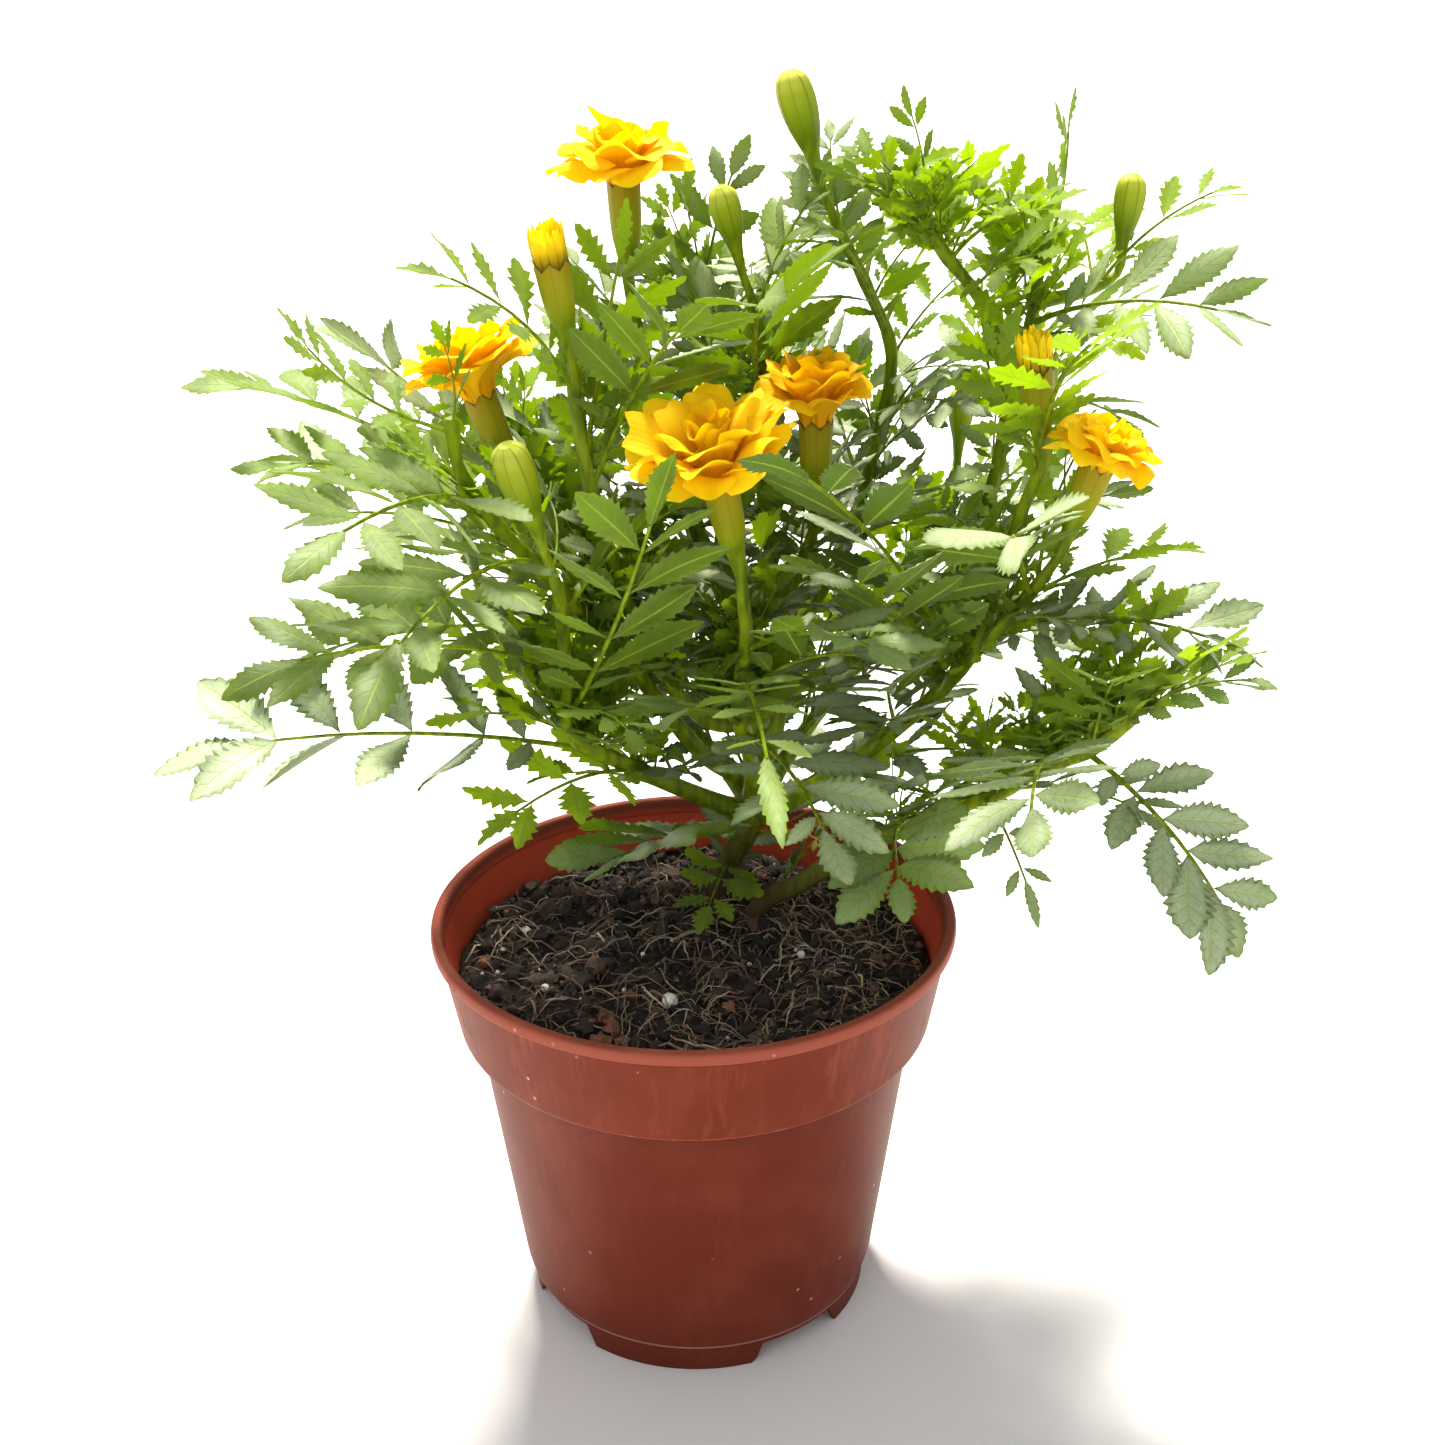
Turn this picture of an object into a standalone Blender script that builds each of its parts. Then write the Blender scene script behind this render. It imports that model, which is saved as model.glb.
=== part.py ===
# Small-flowered marigold in a round nursery pot.
# The pot's axis is Z, its foot stands on z = 0 and -Y is the front.

import math
import random

import bpy
from mathutils import Quaternion, Vector
from mathutils.bvhtree import BVHTree

mm = 0.001

# Driving sizes of the pot, in millimetres
pot_height = 124.0
wall = 1.6
rim_radius = 75.0
rim_depth = 3.6
rim_flat = 2.6
rim_bevel = 0.4
rim_side_drop = 1.4
rim_inner_drop = 1.2
collar_depth = 32.0
collar_top_radius = 73.2
collar_foot_radius = 68.4
collar_bevel = 1.4
ledge_rise = 0.9
body_top_radius = 63.4
body_top_drop = 0.6
body_foot_radius = 53.2
body_foot_rise = 4.0
foot_radius = 51.0
foot_lip = 1.0
foot_bevel = 0.8
foot_taper = 0.4
foot_height = 8.8
foot_notches = 4
notch_angle = math.radians(35.0)
notch_width = 29.0
notch_height = 6.5
notch_inwards = 12.0
drain_holes = 6
drain_ring_radius = 34.0
drain_radius = 4.5
drain_sides = 10
cut_past = 3.0
pot_sides = 28

# Heights and radii inside the pot that its soil follows
floor_height = foot_height + wall
floor_radius = body_foot_radius - wall - 0.6
collar_foot = pot_height - collar_depth
ledge_height = collar_foot + wall + ledge_rise
inner_top = pot_height - rim_inner_drop

# Driving sizes of the soil, in millimetres
gap = 0.3
soil_gap = gap * 1.4
soil_top = 107.0
soil_bump = 1.6
soil_ring_step = 14.0
soil_rings = 4
soil_edge_width = 3.0
soil_edge_drop = 2.2
hole_ease = 1.16
hole_sides = 8
rooted_stems = ("main_stem", "low_right_stem")

# Driving sizes of the stems, in millimetres
stem_sides = 5
head_sides = 6
head_clearance = 1.0
head_run = 0.4
seat_start = 4.5
seat_step = 0.15
seat_steps = 90

# Driving sizes of a leaf: millimetres, and shares of its length from foot to tip
blade = 0.7
blade_margin = 0.5
rachis_width = 1.7
first_pair = 0.24
last_pair = 0.70
terminal_at = 0.76
leaflet_foot = 2.6
leaflet_reach = 0.25
leaflet_swell = 0.10
leaflet_longest = 30.0
leaflet_lean = 64.0
leaflet_lean_drop = 20.0
leaflet_fold = math.radians(14.0)
leaflet_sag = 0.10
terminal_width = 0.19
leaf_facing = 0.35
leaf_over_soil = 3.0
plant_axis = Vector((12, 40, 0))
reach_sideways = 150.2
reach_fore = 124.6

# A leaflet's outline past its foot: shares of its reach along it and across it
leaflet_outline = [(0.36, 0.18), (1.0, 0.0), (0.62, -0.18)]

# Driving sizes of the blooms, in millimetres
petals_round = 7
hub_radius = 2.6
hub_flare = 1.3
petal_tilt = 0.10
petal_shortest = 0.90
tuft_heights = (0.0, 3.5, 7.0)
tuft_radii = (3.9, 3.8, 3.0)
roll_count = 5
roll_radii = (1.1, 0.9)
roll_foot = (2.6, 2.0)
roll_tip = (3.6, 10.0)


def clear_scene():
    for item in list(bpy.data.objects):
        bpy.data.objects.remove(item, do_unlink=True)


def make_material(name, color, roughness):
    material = bpy.data.materials.new(name)
    material.use_nodes = True
    shader = material.node_tree.nodes["Principled BSDF"]
    shader.inputs["Base Color"].default_value = (*color, 1.0)
    shader.inputs["Roughness"].default_value = roughness
    shader.inputs["Metallic"].default_value = 0.0
    return material


def make_object(name, points, faces, material):
    """Points are in millimetres."""
    mesh = bpy.data.meshes.new(name)
    mesh.from_pydata([Vector(p) * mm for p in points], [], faces)
    mesh.update()
    item = bpy.data.objects.new(name, mesh)
    bpy.context.scene.collection.objects.link(item)
    if material:
        mesh.materials.append(material)
    return item


def combine(item, others, operation):
    """Joins the others to the item, or cuts them from it, and removes them."""
    if not others:
        return
    group = bpy.data.collections.new("combined")
    bpy.context.scene.collection.children.link(group)
    for other in others:
        bpy.context.scene.collection.objects.unlink(other)
        group.objects.link(other)
    modifier = item.modifiers.new("Combine", "BOOLEAN")
    modifier.operation = operation
    modifier.operand_type = "COLLECTION"
    modifier.collection = group
    depsgraph = bpy.context.evaluated_depsgraph_get()
    mesh = bpy.data.meshes.new_from_object(item.evaluated_get(depsgraph))
    item.modifiers.clear()
    item.data = mesh
    for other in others:
        bpy.data.objects.remove(other, do_unlink=True)
    bpy.data.collections.remove(group)


def shade(item, angle):
    item.data.shade_smooth()
    item.data.set_sharp_from_angle(angle=math.radians(angle))


# Round shapes

def lathe(profile, sides, bump=None):
    """Turns a profile that starts and ends on the axis, with the solid on its right as it goes."""
    points = []
    rings = []
    for radius, height in profile:
        if radius == 0:
            rings.append([len(points)])
            points.append(Vector((0, 0, height)))
            continue
        ring = []
        for step in range(sides):
            angle = 2 * math.pi * step / sides
            lift = bump(radius, angle, height) if bump else 0.0
            ring.append(len(points))
            points.append(Vector((radius * math.cos(angle), radius * math.sin(angle), height + lift)))
        rings.append(ring)
    faces = []
    for first, second in zip(rings, rings[1:]):
        for step in range(sides):
            after = (step + 1) % sides
            if len(first) == 1:
                faces.append((first[0], second[step], second[after]))
            elif len(second) == 1:
                faces.append((first[step], second[0], first[after]))
            else:
                faces.append((first[step], second[step], second[after], first[after]))
    return points, faces


def rod(name, start, end, radius, sides):
    return tube(name, [Vector(start), Vector(end)], [radius, radius], sides, None)


# Smooth paths and the tubes along them

def along_path(path, place):
    """The point at a place counted in the path's own points, on a smooth curve through them."""
    last = len(path) - 1
    number = min(int(place), last - 1)
    t = place - number
    b = path[number]
    c = path[number + 1]
    a = path[number - 1] if number > 0 else b * 2 - c
    d = path[number + 2] if number + 2 <= last else c * 2 - b
    return 0.5 * (2 * b + (c - a) * t + (2 * a - 5 * b + 4 * c - d) * t * t
                  + (3 * b - a - 3 * c + d) * t * t * t)


def tube(name, centres, radii, sides, material):
    """A closed tube with flat ends, turned as little as its bends allow."""
    count = len(centres)
    ahead = (centres[1] - centres[0]).normalized()
    across = ahead.orthogonal().normalized()
    points = []
    for number in range(count):
        before = centres[max(number - 1, 0)]
        after = centres[min(number + 1, count - 1)]
        turned = (after - before).normalized()
        across = (across - turned * across.dot(turned)).normalized()
        other = turned.cross(across)
        for step in range(sides):
            angle = 2 * math.pi * step / sides
            spread = across * math.cos(angle) + other * math.sin(angle)
            points.append(centres[number] + spread * radii[number])
    faces = []
    for number in range(count - 1):
        for step in range(sides):
            after = (step + 1) % sides
            low = number * sides
            high = low + sides
            faces.append((low + step, low + after, high + after, high + step))
    faces.append(tuple(reversed(range(sides))))
    faces.append(tuple(range((count - 1) * sides, count * sides)))
    return make_object(name, points, faces, material)


# Heads: distance back from the head's end and radius there, in millimetres
heads = {
    "calyx": [(0.0, 5.0), (3.0, 4.8), (16.0, 4.3), (21.0, 2.6), (30.0, 1.5)],
    "slim_calyx": [(0.0, 4.6), (3.0, 4.7), (13.0, 3.9), (19.0, 2.2), (27.0, 1.3)],
    "bud": [(0.0, 2.0), (2.0, 3.9), (7.0, 5.3), (14.0, 5.0), (20.0, 3.2), (25.0, 2.0), (34.0, 1.2)],
    "small_bud": [(0.0, 1.6), (2.0, 3.2), (6.0, 4.3), (12.0, 3.9), (17.0, 2.0), (26.0, 1.1)],
}


def stem_tube(name, path, radii, head, material):
    """A stem along its path; a head takes the last stretch and swells by its own profile."""
    last = len(path) - 1
    centres = [along_path(path, step) for step in range(last + 1)]
    lengths = [0.0]
    for before, after in zip(centres, centres[1:]):
        lengths.append(lengths[-1] + (after - before).length)
    total = lengths[-1]
    profile = heads[head] if head else []
    reach = profile[-1][0] if head else 0.0
    kept = [k for k, length in enumerate(lengths) if length < total - reach - head_clearance or not head]
    points = [centres[k] for k in kept]
    sizes = [radii[0] + (radii[1] - radii[0]) * lengths[k] / total for k in kept]
    end = centres[-1]
    # The head is straight: it takes the direction of the path's end
    ahead = (end - along_path(path, last - head_run)).normalized()
    for back, radius in reversed(profile):
        points.append(end - ahead * back)
        sizes.append(radius)
    sides = head_sides if head else stem_sides
    return tube(name, points, sizes, sides, material)


# Leaves

def leaf_surface(base, tip, arch, roll, pairs):
    """The top face of a pinnate leaf: leaflets cut to the rib, on one arched sheet."""
    chord = tip - base
    length = chord.length
    along = chord / length
    inward = Vector((plant_axis.x - base.x, plant_axis.y - base.y, 0))
    inward = inward.normalized() if inward.length > 1.0 else Vector((0, 0, 0))
    upward = Vector((0, 0, 1)) + inward * leaf_facing
    normal = (upward - along * upward.dot(along)).normalized()
    normal.rotate(Quaternion(along, math.radians(roll)))
    bend = (base + tip) / 2 + normal * (2 * arch)

    def spine(s):
        return base * (1 - s) ** 2 + bend * (2 * s * (1 - s)) + tip * s ** 2

    def frame(s):
        ahead = ((bend - base) * (1 - s) + (tip - bend) * s).normalized()
        side = ahead.cross(normal).normalized()
        return ahead, side, side.cross(ahead)

    points = []
    faces = []

    def add(point):
        points.append(point)
        return len(points) - 1

    half_foot = leaflet_foot / 2 / length
    stations = [0.0]
    for number in range(pairs):
        middle = first_pair + (last_pair - first_pair) * number / (pairs - 1)
        stations += [middle - half_foot, middle + half_foot]
    stations.append(terminal_at)
    edges = {1: [], -1: []}
    for s in stations:
        side = frame(s)[1]
        for hand in (1, -1):
            edges[hand].append(add(spine(s) + side * (hand * rachis_width / 2)))
    right, left = edges[1], edges[-1]
    for k in range(len(stations) - 1):
        faces.append((left[k], right[k], right[k + 1]))
        faces.append((left[k], right[k + 1], left[k + 1]))

    # Each leaflet is an oblong blade with one shoulder low and one high
    for number in range(pairs):
        k = 1 + 2 * number
        share = number / (pairs - 1)
        s = (stations[k] + stations[k + 1]) / 2
        ahead, side, up = frame(s)
        swell = leaflet_swell * math.sin(math.pi * (0.15 + 0.7 * share))
        reach = min(length * (leaflet_reach + swell), leaflet_longest)
        lean = math.radians(leaflet_lean - leaflet_lean_drop * share)
        for hand in (1, -1):
            outward = side * (hand * math.cos(leaflet_fold)) + up * math.sin(leaflet_fold)
            axis = ahead * math.cos(lean) + outward * math.sin(lean)
            across = outward * math.cos(lean) - ahead * math.sin(lean)
            root = spine(s) + side * (hand * rachis_width / 2)
            ring = [edges[hand][k]]
            for far, wide in leaflet_outline:
                sag = up * (reach * leaflet_sag * far * far)
                ring.append(add(root + axis * (reach * far) + across * (reach * wide) - sag))
            ring.append(edges[hand][k + 1])
            for a, b, c in ((0, 1, 3), (0, 3, 4), (1, 2, 3)):
                face = (ring[a], ring[b], ring[c])
                faces.append(face if hand == 1 else face[::-1])

    # The terminal leaflet carries on along the rib
    foot = spine(terminal_at)
    side = frame(terminal_at)[1]
    wide = side * ((tip - foot).length * terminal_width)
    right_low = add(foot.lerp(tip, 0.32) + wide)
    right_high = add(foot.lerp(tip, 0.68) + wide * 0.8)
    left_middle = add(foot.lerp(tip, 0.48) - wide)
    point = add(tip)
    faces += [(left[-1], right[-1], right_low), (left[-1], right_low, left_middle),
              (left_middle, right_low, right_high), (left_middle, right_high, point)]
    return points, faces


def thicken(points, faces, up, down, open_ring=0):
    """Closes a sheet into a blade with like triangles above and below; its first ring may stay open."""
    normals = [Vector((0, 0, 0)) for _ in points]
    edges = {}
    for face in faces:
        a, b, c = (points[k] for k in face)
        turned = (b - a).cross(c - a)
        for k in face:
            normals[k] += turned
        for k in range(3):
            edges[(face[k], face[(k + 1) % 3])] = True
    normals = [n.normalized() for n in normals]
    count = len(points)
    solid = [p + n * up for p, n in zip(points, normals)] + [p - n * down for p, n in zip(points, normals)]
    triangles = [tuple(face) for face in faces]
    triangles += [(c + count, b + count, a + count) for a, b, c in faces]
    for a, b in edges:
        if (b, a) not in edges and not (a < open_ring and b < open_ring):
            triangles.append((a, b + count, b))
            triangles.append((a, a + count, b + count))
    return solid, triangles


# What is already placed, as boxes and search trees

placed = []


def corners(points):
    low = [min(p[k] for p in points) for k in range(3)]
    high = [max(p[k] for p in points) for k in range(3)]
    return low, high


def keep_clear_of(points, faces, key):
    low, high = corners(points)
    placed.append((key, low, high, BVHTree.FromPolygons(points, faces)))


def crosses(points, faces, own_stem):
    """Whether a shape meets anything placed before it, other than the stem it grows from."""
    low, high = corners(points)
    tree = BVHTree.FromPolygons(points, faces)
    for key, other_low, other_high, other in placed:
        if key == own_stem:
            continue
        if any(low[k] > other_high[k] or high[k] < other_low[k] for k in range(3)):
            continue
        if tree.overlap(other):
            return True
    return False


# Turns that a leaf tries until it hangs clear of its neighbours: heading and rise, in degrees
turns = [(0, 0)]
for swing in (5, 10, 15, 20, 26, 32):
    turns += [(swing, 0), (-swing, 0), (0, swing), (0, -swing), (swing, swing), (-swing, swing),
              (swing, -swing), (-swing, -swing)]


def turned_tip(base, tip, heading, rise):
    reach = tip - base
    flat = Vector((reach.x, reach.y, 0))
    side = Vector((-reach.y, reach.x, 0)).normalized() if flat.length > 0.1 else Vector((1, 0, 0))
    reach.rotate(Quaternion(side, math.radians(-rise)))
    reach.rotate(Quaternion(Vector((0, 0, 1)), math.radians(heading)))
    return base + reach


def place_leaf(key, base, tip, arch, roll, pairs, stem_key):
    """Finds the first turn of the leaf that is clear, and gives its closed blade."""
    margin = blade / 2 + blade_margin
    for heading, rise in turns:
        end = turned_tip(base, tip, heading, rise)
        points, faces = leaf_surface(base, end, arch, roll, pairs)
        if max(abs(p.x) for p in points) > reach_sideways or max(abs(p.y) for p in points) > reach_fore:
            continue
        wide_points, wide_faces = thicken(points, faces, margin, margin)
        if min(p.z for p in wide_points) < soil_top + leaf_over_soil:
            continue
        if crosses(wide_points, wide_faces, stem_key):
            continue
        solid, triangles = thicken(points, faces, blade / 2, blade / 2)
        keep_clear_of(solid, triangles, key)
        return solid, triangles
    return None


# The plant, in millimetres. A stem's path starts at its seat on the main stem.
# A leaf is (place on the path, tip, arch, roll, pairs); the place is counted in the path's points.
# A twig grows from its stem's path and is (path, radii, head, leaves).

plant = {
    "main_stem": {
        "path": [(5, 41, 96), (9, 40, 112), (14, 37, 125), (19, 33, 137), (21, 37, 158), (17, 45, 184),
                 (6, 53, 212), (-5, 58, 242), (-12, 60, 272), (-15, 60, 296), (-16, 60, 319)],
        "radii": (3.5, 1.6),
        "head": "calyx",
        "leaves": [(2.2, (-30, -22, 146), 5, 0, 4), (1.3, (1, -4, 117), 7, 0, 3),
                   (6.4, (-20, 120, 232), 12, 0, 3)],
        "twigs": [],
    },
    "low_left_stem": {
        "path": [(15, 31, 139), (-4, 24, 151), (-20, 10, 166), (-32, 0, 179), (-33, -10, 204),
                 (-33, -20, 226), (-38, -29, 250), (-43, -36, 271)],
        "radii": (2.7, 1.3),
        "head": "bud",
        "leaves": [(2.5, (-150, -4, 174), 9, -30, 4), (3.3, (-3, -60, 277), -5, 20, 4),
                   (2.8, (-54, -28, 250), -6, -30, 4), (1.6, (-58, -24, 158), 9, -20, 3),
                   (3.9, (-108, -60, 214), 10, -20, 4)],
        "twigs": [],
    },
    "upper_left_stem": {
        "path": [(14, 34, 150), (2, 26, 162), (-18, 9, 198), (-36, -10, 228), (-47, -20, 245),
                 (-55, -28, 262), (-56, -32, 276)],
        "radii": (2.6, 1.5),
        "head": None,
        "leaves": [(4.8, (-124, -12, 282), 6, -10, 4), (5.8, (-94, -34, 304), -6, -25, 4),
                   (4.1, (-112, -24, 262), 8, -25, 4), (2.3, (-131, -8, 222), 9, -30, 4),
                   (4.4, (-84, -100, 262), 9, -15, 4), (3.3, (-44, -118, 236), 10, 0, 4),
                   (5.9, (-57, -44, 303), -3, 80, 3)],
        "twigs": [],
    },
    "rear_left_stem": {
        "path": [(13, 50, 190), (-6, 42, 198), (-26, 30, 212), (-40, 22, 226), (-46, 21, 240),
                 (-50, 22, 254), (-55, 24, 268)],
        "radii": (2.0, 1.4),
        "head": "calyx",
        "leaves": [(2.2, (-128, 46, 246), 9, 0, 4), (3.0, (-104, 62, 282), 6, 0, 3),
                   (1.5, (-60, 106, 246), 9, 0, 3)],
        "twigs": [],
    },
    "left_centre_stem": {
        "path": [(17, 35, 166), (3, 22, 174), (-13, 9, 204), (-23, 1, 240), (-27, -5, 266),
                 (-28, -7, 280), (-30, -9, 296), (-32, -11, 310)],
        "radii": (2.2, 1.4),
        "head": "slim_calyx",
        "leaves": [(4.6, (-68, -22, 312), 8, -40, 4), (3.6, (-12, 2, 322), -4, 0, 4),
                   (3.3, (-22, -78, 268), 9, 0, 4)],
        "twigs": [],
    },
    "centre_stem": {
        "path": [(23, 32, 160), (26, 30, 172), (26, 35, 200), (22, 43, 230), (21, 46, 257), (20, 44, 283),
                 (15, 40, 301), (10, 36, 320)],
        "radii": (2.2, 1.3),
        "head": "small_bud",
        "leaves": [(4.3, (-24, 48, 300), 7, 0, 4), (5.0, (48, 52, 330), 5, 0, 4),
                   (4.0, (22, -38, 300), 8, 0, 4)],
        "twigs": [([(26, 35, 200), (32, 29, 218), (35, 24, 240), (35, 22, 261)], (1.9, 1.4), "calyx", [])],
    },
    "front_stem": {
        "path": [(18, 29, 146), (17, 18, 162), (13, 2, 187), (15, -8, 209), (14, -13, 223),
                 (12, -17, 237), (8, -23, 258)],
        "radii": (2.4, 1.4),
        "head": "calyx",
        "leaves": [(2.8, (52, -62, 222), 7, 0, 4), (1.6, (-6, -52, 206), 4, 0, 3),
                   (2.2, (18, -124, 200), 12, 0, 4), (1.5, (38, -66, 166), 8, 0, 4)],
        "twigs": [],
    },
    "rear_right_stem": {
        "path": [(19, 46, 178), (30, 54, 186), (46, 64, 208), (57, 69, 244), (60, 68, 268),
                 (53, 65, 286), (45, 62, 302), (37, 59, 322), (29, 56, 347)],
        "radii": (2.3, 1.3),
        "head": "bud",
        "leaves": [(4.2, (34, 20, 318), 6, 0, 3), (3.0, (112, 96, 268), 9, 0, 3),
                   (5.2, (74, 114, 318), 6, 0, 3)],
        "twigs": [],
    },
    "right_stem": {
        "path": [(24, 30, 140), (43, 20, 157), (66, 5, 185), (77, -5, 204), (86, -10, 217),
                 (95, -17, 237), (99, -19, 248), (103, -20, 260)],
        "radii": (2.7, 1.4),
        "head": "slim_calyx",
        "leaves": [(2.6, (13, -56, 287), 8, -20, 4), (2.2, (24, -62, 232), 8, -15, 4),
                   (3.6, (146, -36, 212), 8, 20, 4), (4.3, (60, -104, 256), 9, 0, 4)],
        "twigs": [([(77, -5, 204), (82, -6, 226), (88, -10, 250), (89, -12, 266), (87, -13, 283)],
                   (1.8, 1.4), "slim_calyx", [(2.6, (118, -70, 282), 6, 0, 4)])],
    },
    "upper_right_stem": {
        "path": [(22, 44, 170), (44, 44, 180), (64, 38, 196), (78, 32, 214), (85, 30, 240),
                 (89, 30, 266), (93, 30, 284), (94, 30, 298)],
        "radii": (2.6, 1.6),
        "head": None,
        "leaves": [(6.7, (99, 30, 345), -3, 0, 4), (6.0, (150, -4, 289), 10, 30, 4),
                   (4.6, (132, 56, 244), 9, 10, 3)],
        "twigs": [
            ([(89, 30, 266), (80, 28, 289), (69, 25, 303), (63, 24, 312)], (1.9, 1.5), None,
             [(2.2, (33, 16, 328), 4, 0, 3), (3.0, (52, 34, 343), -3, 0, 3), (1.9, (96, -18, 320), 6, 0, 3)]),
            ([(94, 30, 290), (107, 32, 292), (116, 35, 300), (119, 36, 322)], (1.7, 1.3), "small_bud",
             [(1.5, (150, 36, 320), 5, 20, 3)]),
        ],
    },
    "low_right_stem": {
        "path": [(16, 24, 96), (20, 22, 112), (33, 15, 124), (46, 7, 138), (71, -8, 158),
                 (84, -16, 167), (93, -22, 177), (103, -30, 185), (112, -36, 196)],
        "radii": (3.2, 1.7),
        "head": None,
        "leaves": [(7.0, (143, -60, 142), 9, 20, 4), (7.6, (148, -44, 208), 7, 20, 4),
                   (6.0, (124, 12, 214), 9, 15, 4), (3.5, (54, -56, 150), 9, 0, 4),
                   (4.6, (84, -60, 150), 9, 0, 3), (6.4, (74, -110, 196), 9, 0, 4)],
        "twigs": [],
    },
    "rear_stem": {
        "path": [(9, 56, 206), (12, 72, 214), (14, 88, 232), (10, 98, 254), (5, 104, 278)],
        "radii": (2.0, 1.4),
        "head": None,
        "leaves": [(2.0, (60, 122, 232), 9, 0, 3), (3.0, (-50, 122, 262), 8, 0, 3),
                   (3.8, (20, 100, 326), 5, 0, 3)],
        "twigs": [],
    },
    "rear_low_right_stem": {
        "path": [(24, 38, 146), (38, 56, 158), (56, 76, 172), (76, 92, 194), (84, 98, 222),
                 (86, 100, 250)],
        "radii": (2.4, 1.5),
        "head": "small_bud",
        "leaves": [(1.8, (128, 70, 178), 9, 0, 4), (2.6, (60, 124, 184), 9, 0, 3),
                   (3.2, (138, 92, 214), 9, 0, 3)],
        "twigs": [],
    },
    "rear_low_left_stem": {
        "path": [(18, 38, 138), (3, 54, 153), (-24, 76, 173), (-46, 92, 196), (-56, 98, 224)],
        "radii": (2.4, 1.5),
        "head": None,
        "leaves": [(1.6, (-92, 50, 186), 9, 0, 4), (2.4, (-30, 124, 194), 9, 0, 3),
                   (3.1, (-124, 80, 216), 9, 0, 3), (3.9, (-80, 112, 258), 5, 0, 3)],
        "twigs": [],
    },
}


# The dying leaf: place on the main stem, its foot's offset from there, tip, arch, roll, pairs
yellow_leaf = (2.4, (4.2, -1.2, 0.3), (44, 2, 134), 5, 0, 3)


def vectors(points):
    return [Vector(p) for p in points]


def mesh_of(item):
    """An object's points in millimetres and its faces."""
    points = [v.co / mm for v in item.data.vertices]
    faces = [tuple(p.vertices) for p in item.data.polygons]
    return points, faces


def seated(path, radii, head):
    """Moves a stem's foot outwards until it stands just off the stem that carries it."""
    away = (path[1] - path[0]).normalized()
    for step in range(seat_steps):
        moved = list(path)
        moved[0] = path[0] + away * (step * seat_step - seat_start)
        item = stem_tube("trial", moved, radii, head, None)
        points, faces = mesh_of(item)
        bpy.data.objects.remove(item, do_unlink=True)
        if not crosses(points, faces, None):
            moved[0] += away * (gap - seat_step)
            return moved
    return path


def build_stems(green):
    """Gives each node's tubes, and the paths that its leaves grow from."""
    parts = {}
    branches = []
    for node, data in plant.items():
        path = vectors(data["path"])
        if node not in rooted_stems:
            path = seated(path, data["radii"], data["head"])
        grown = [(node, path, data["radii"], data["head"], data["leaves"])]
        for number, (twig_path, radii, head, leaves) in enumerate(data["twigs"]):
            grown.append((f"{node}_twig_{number}", vectors(twig_path), radii, head, leaves))
        parts[node] = []
        for key, stem_path, radii, head, leaves in grown:
            item = stem_tube(key, stem_path, radii, head, green)
            keep_clear_of(*mesh_of(item), key)
            parts[node].append(item)
            branches.append((node, key, stem_path, leaves))
    return parts, branches


def build_leaves(parts, branches, green):
    """Each leaf grows out of its own stem and hangs clear of all that is placed before it."""
    for node, stem_key, path, leaves in branches:
        for number, (place, tip, arch, roll, pairs) in enumerate(leaves):
            key = f"{stem_key}_leaf_{number}"
            leaf = place_leaf(key, along_path(path, place), Vector(tip), arch, roll, pairs, stem_key)
            if leaf:
                parts[node].append(make_object(key, *leaf, green))


# Blooms

# Layers of petals: foot height, and reach and rise at the tip in shares of the bloom's radius
petal_layers = [
    (2.6, 1.00, 0.10),
    (5.4, 0.80, 0.38),
    (8.2, 0.52, 0.52),
]

# A petal past the hub: shares of its reach, of its half turn and of its rise
petal_outline = [(0.50, -0.88, 0.3), (0.97, -0.74, 1.0), (0.97, 0.74, 1.0), (0.50, 0.88, 0.3)]

def petal_layer(foot, reach, rise, start, waver):
    """The upper face of one layer: petals cut to the hub, as a hub ring and their outer points."""
    points = []
    faces = []
    for step in range(petals_round):
        angle = start + 2 * math.pi * (step - 0.5) / petals_round
        points.append(Vector((hub_radius * math.cos(angle), hub_radius * math.sin(angle), foot)))
    half = math.pi / petals_round
    for step in range(petals_round):
        angle = start + 2 * math.pi * step / petals_round
        tilt = waver.uniform(-petal_tilt, petal_tilt) * reach
        size = reach * waver.uniform(petal_shortest, 1.0)
        ring = [step]
        for far, turn, lift in petal_outline:
            radius = hub_radius + (size - hub_radius) * far
            around = angle + half * turn
            ring.append(len(points))
            points.append(Vector((radius * math.cos(around), radius * math.sin(around),
                                  foot + (rise + tilt) * lift)))
        ring.append((step + 1) % petals_round)
        faces += [(ring[0], ring[1], ring[4]), (ring[0], ring[4], ring[5]),
                  (ring[1], ring[2], ring[3]), (ring[1], ring[3], ring[4])]
    return points, faces


def petal_whorls(radius, number):
    """All layers as one closed body: each stands on the hub between it and the layer below."""
    waver = random.Random(number)
    start = waver.uniform(0, 2)
    points = []
    faces = []
    below = None
    for foot, reach, rise in petal_layers:
        layer, layer_faces = petal_layer(foot, radius * reach, radius * rise, start, waver)
        solid, triangles = thicken(layer, layer_faces, blade / 2, blade / 2, petals_round)
        first = len(points)
        upper = [first + k for k in range(petals_round)]
        lower = [first + len(layer) + k for k in range(petals_round)]
        points += solid
        faces += [tuple(first + k for k in face) for face in triangles]
        if not below:
            below = [len(points) + k for k in range(petals_round)]
            for k in lower:
                points.append(Vector((points[k].x * hub_flare, points[k].y * hub_flare, 0)))
            faces.append(tuple(reversed(below)))
        for k in range(petals_round):
            after = (k + 1) % petals_round
            faces.append((below[k], below[after], lower[after], lower[k]))
        below = upper
    faces.append(tuple(below))
    return points, faces


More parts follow.
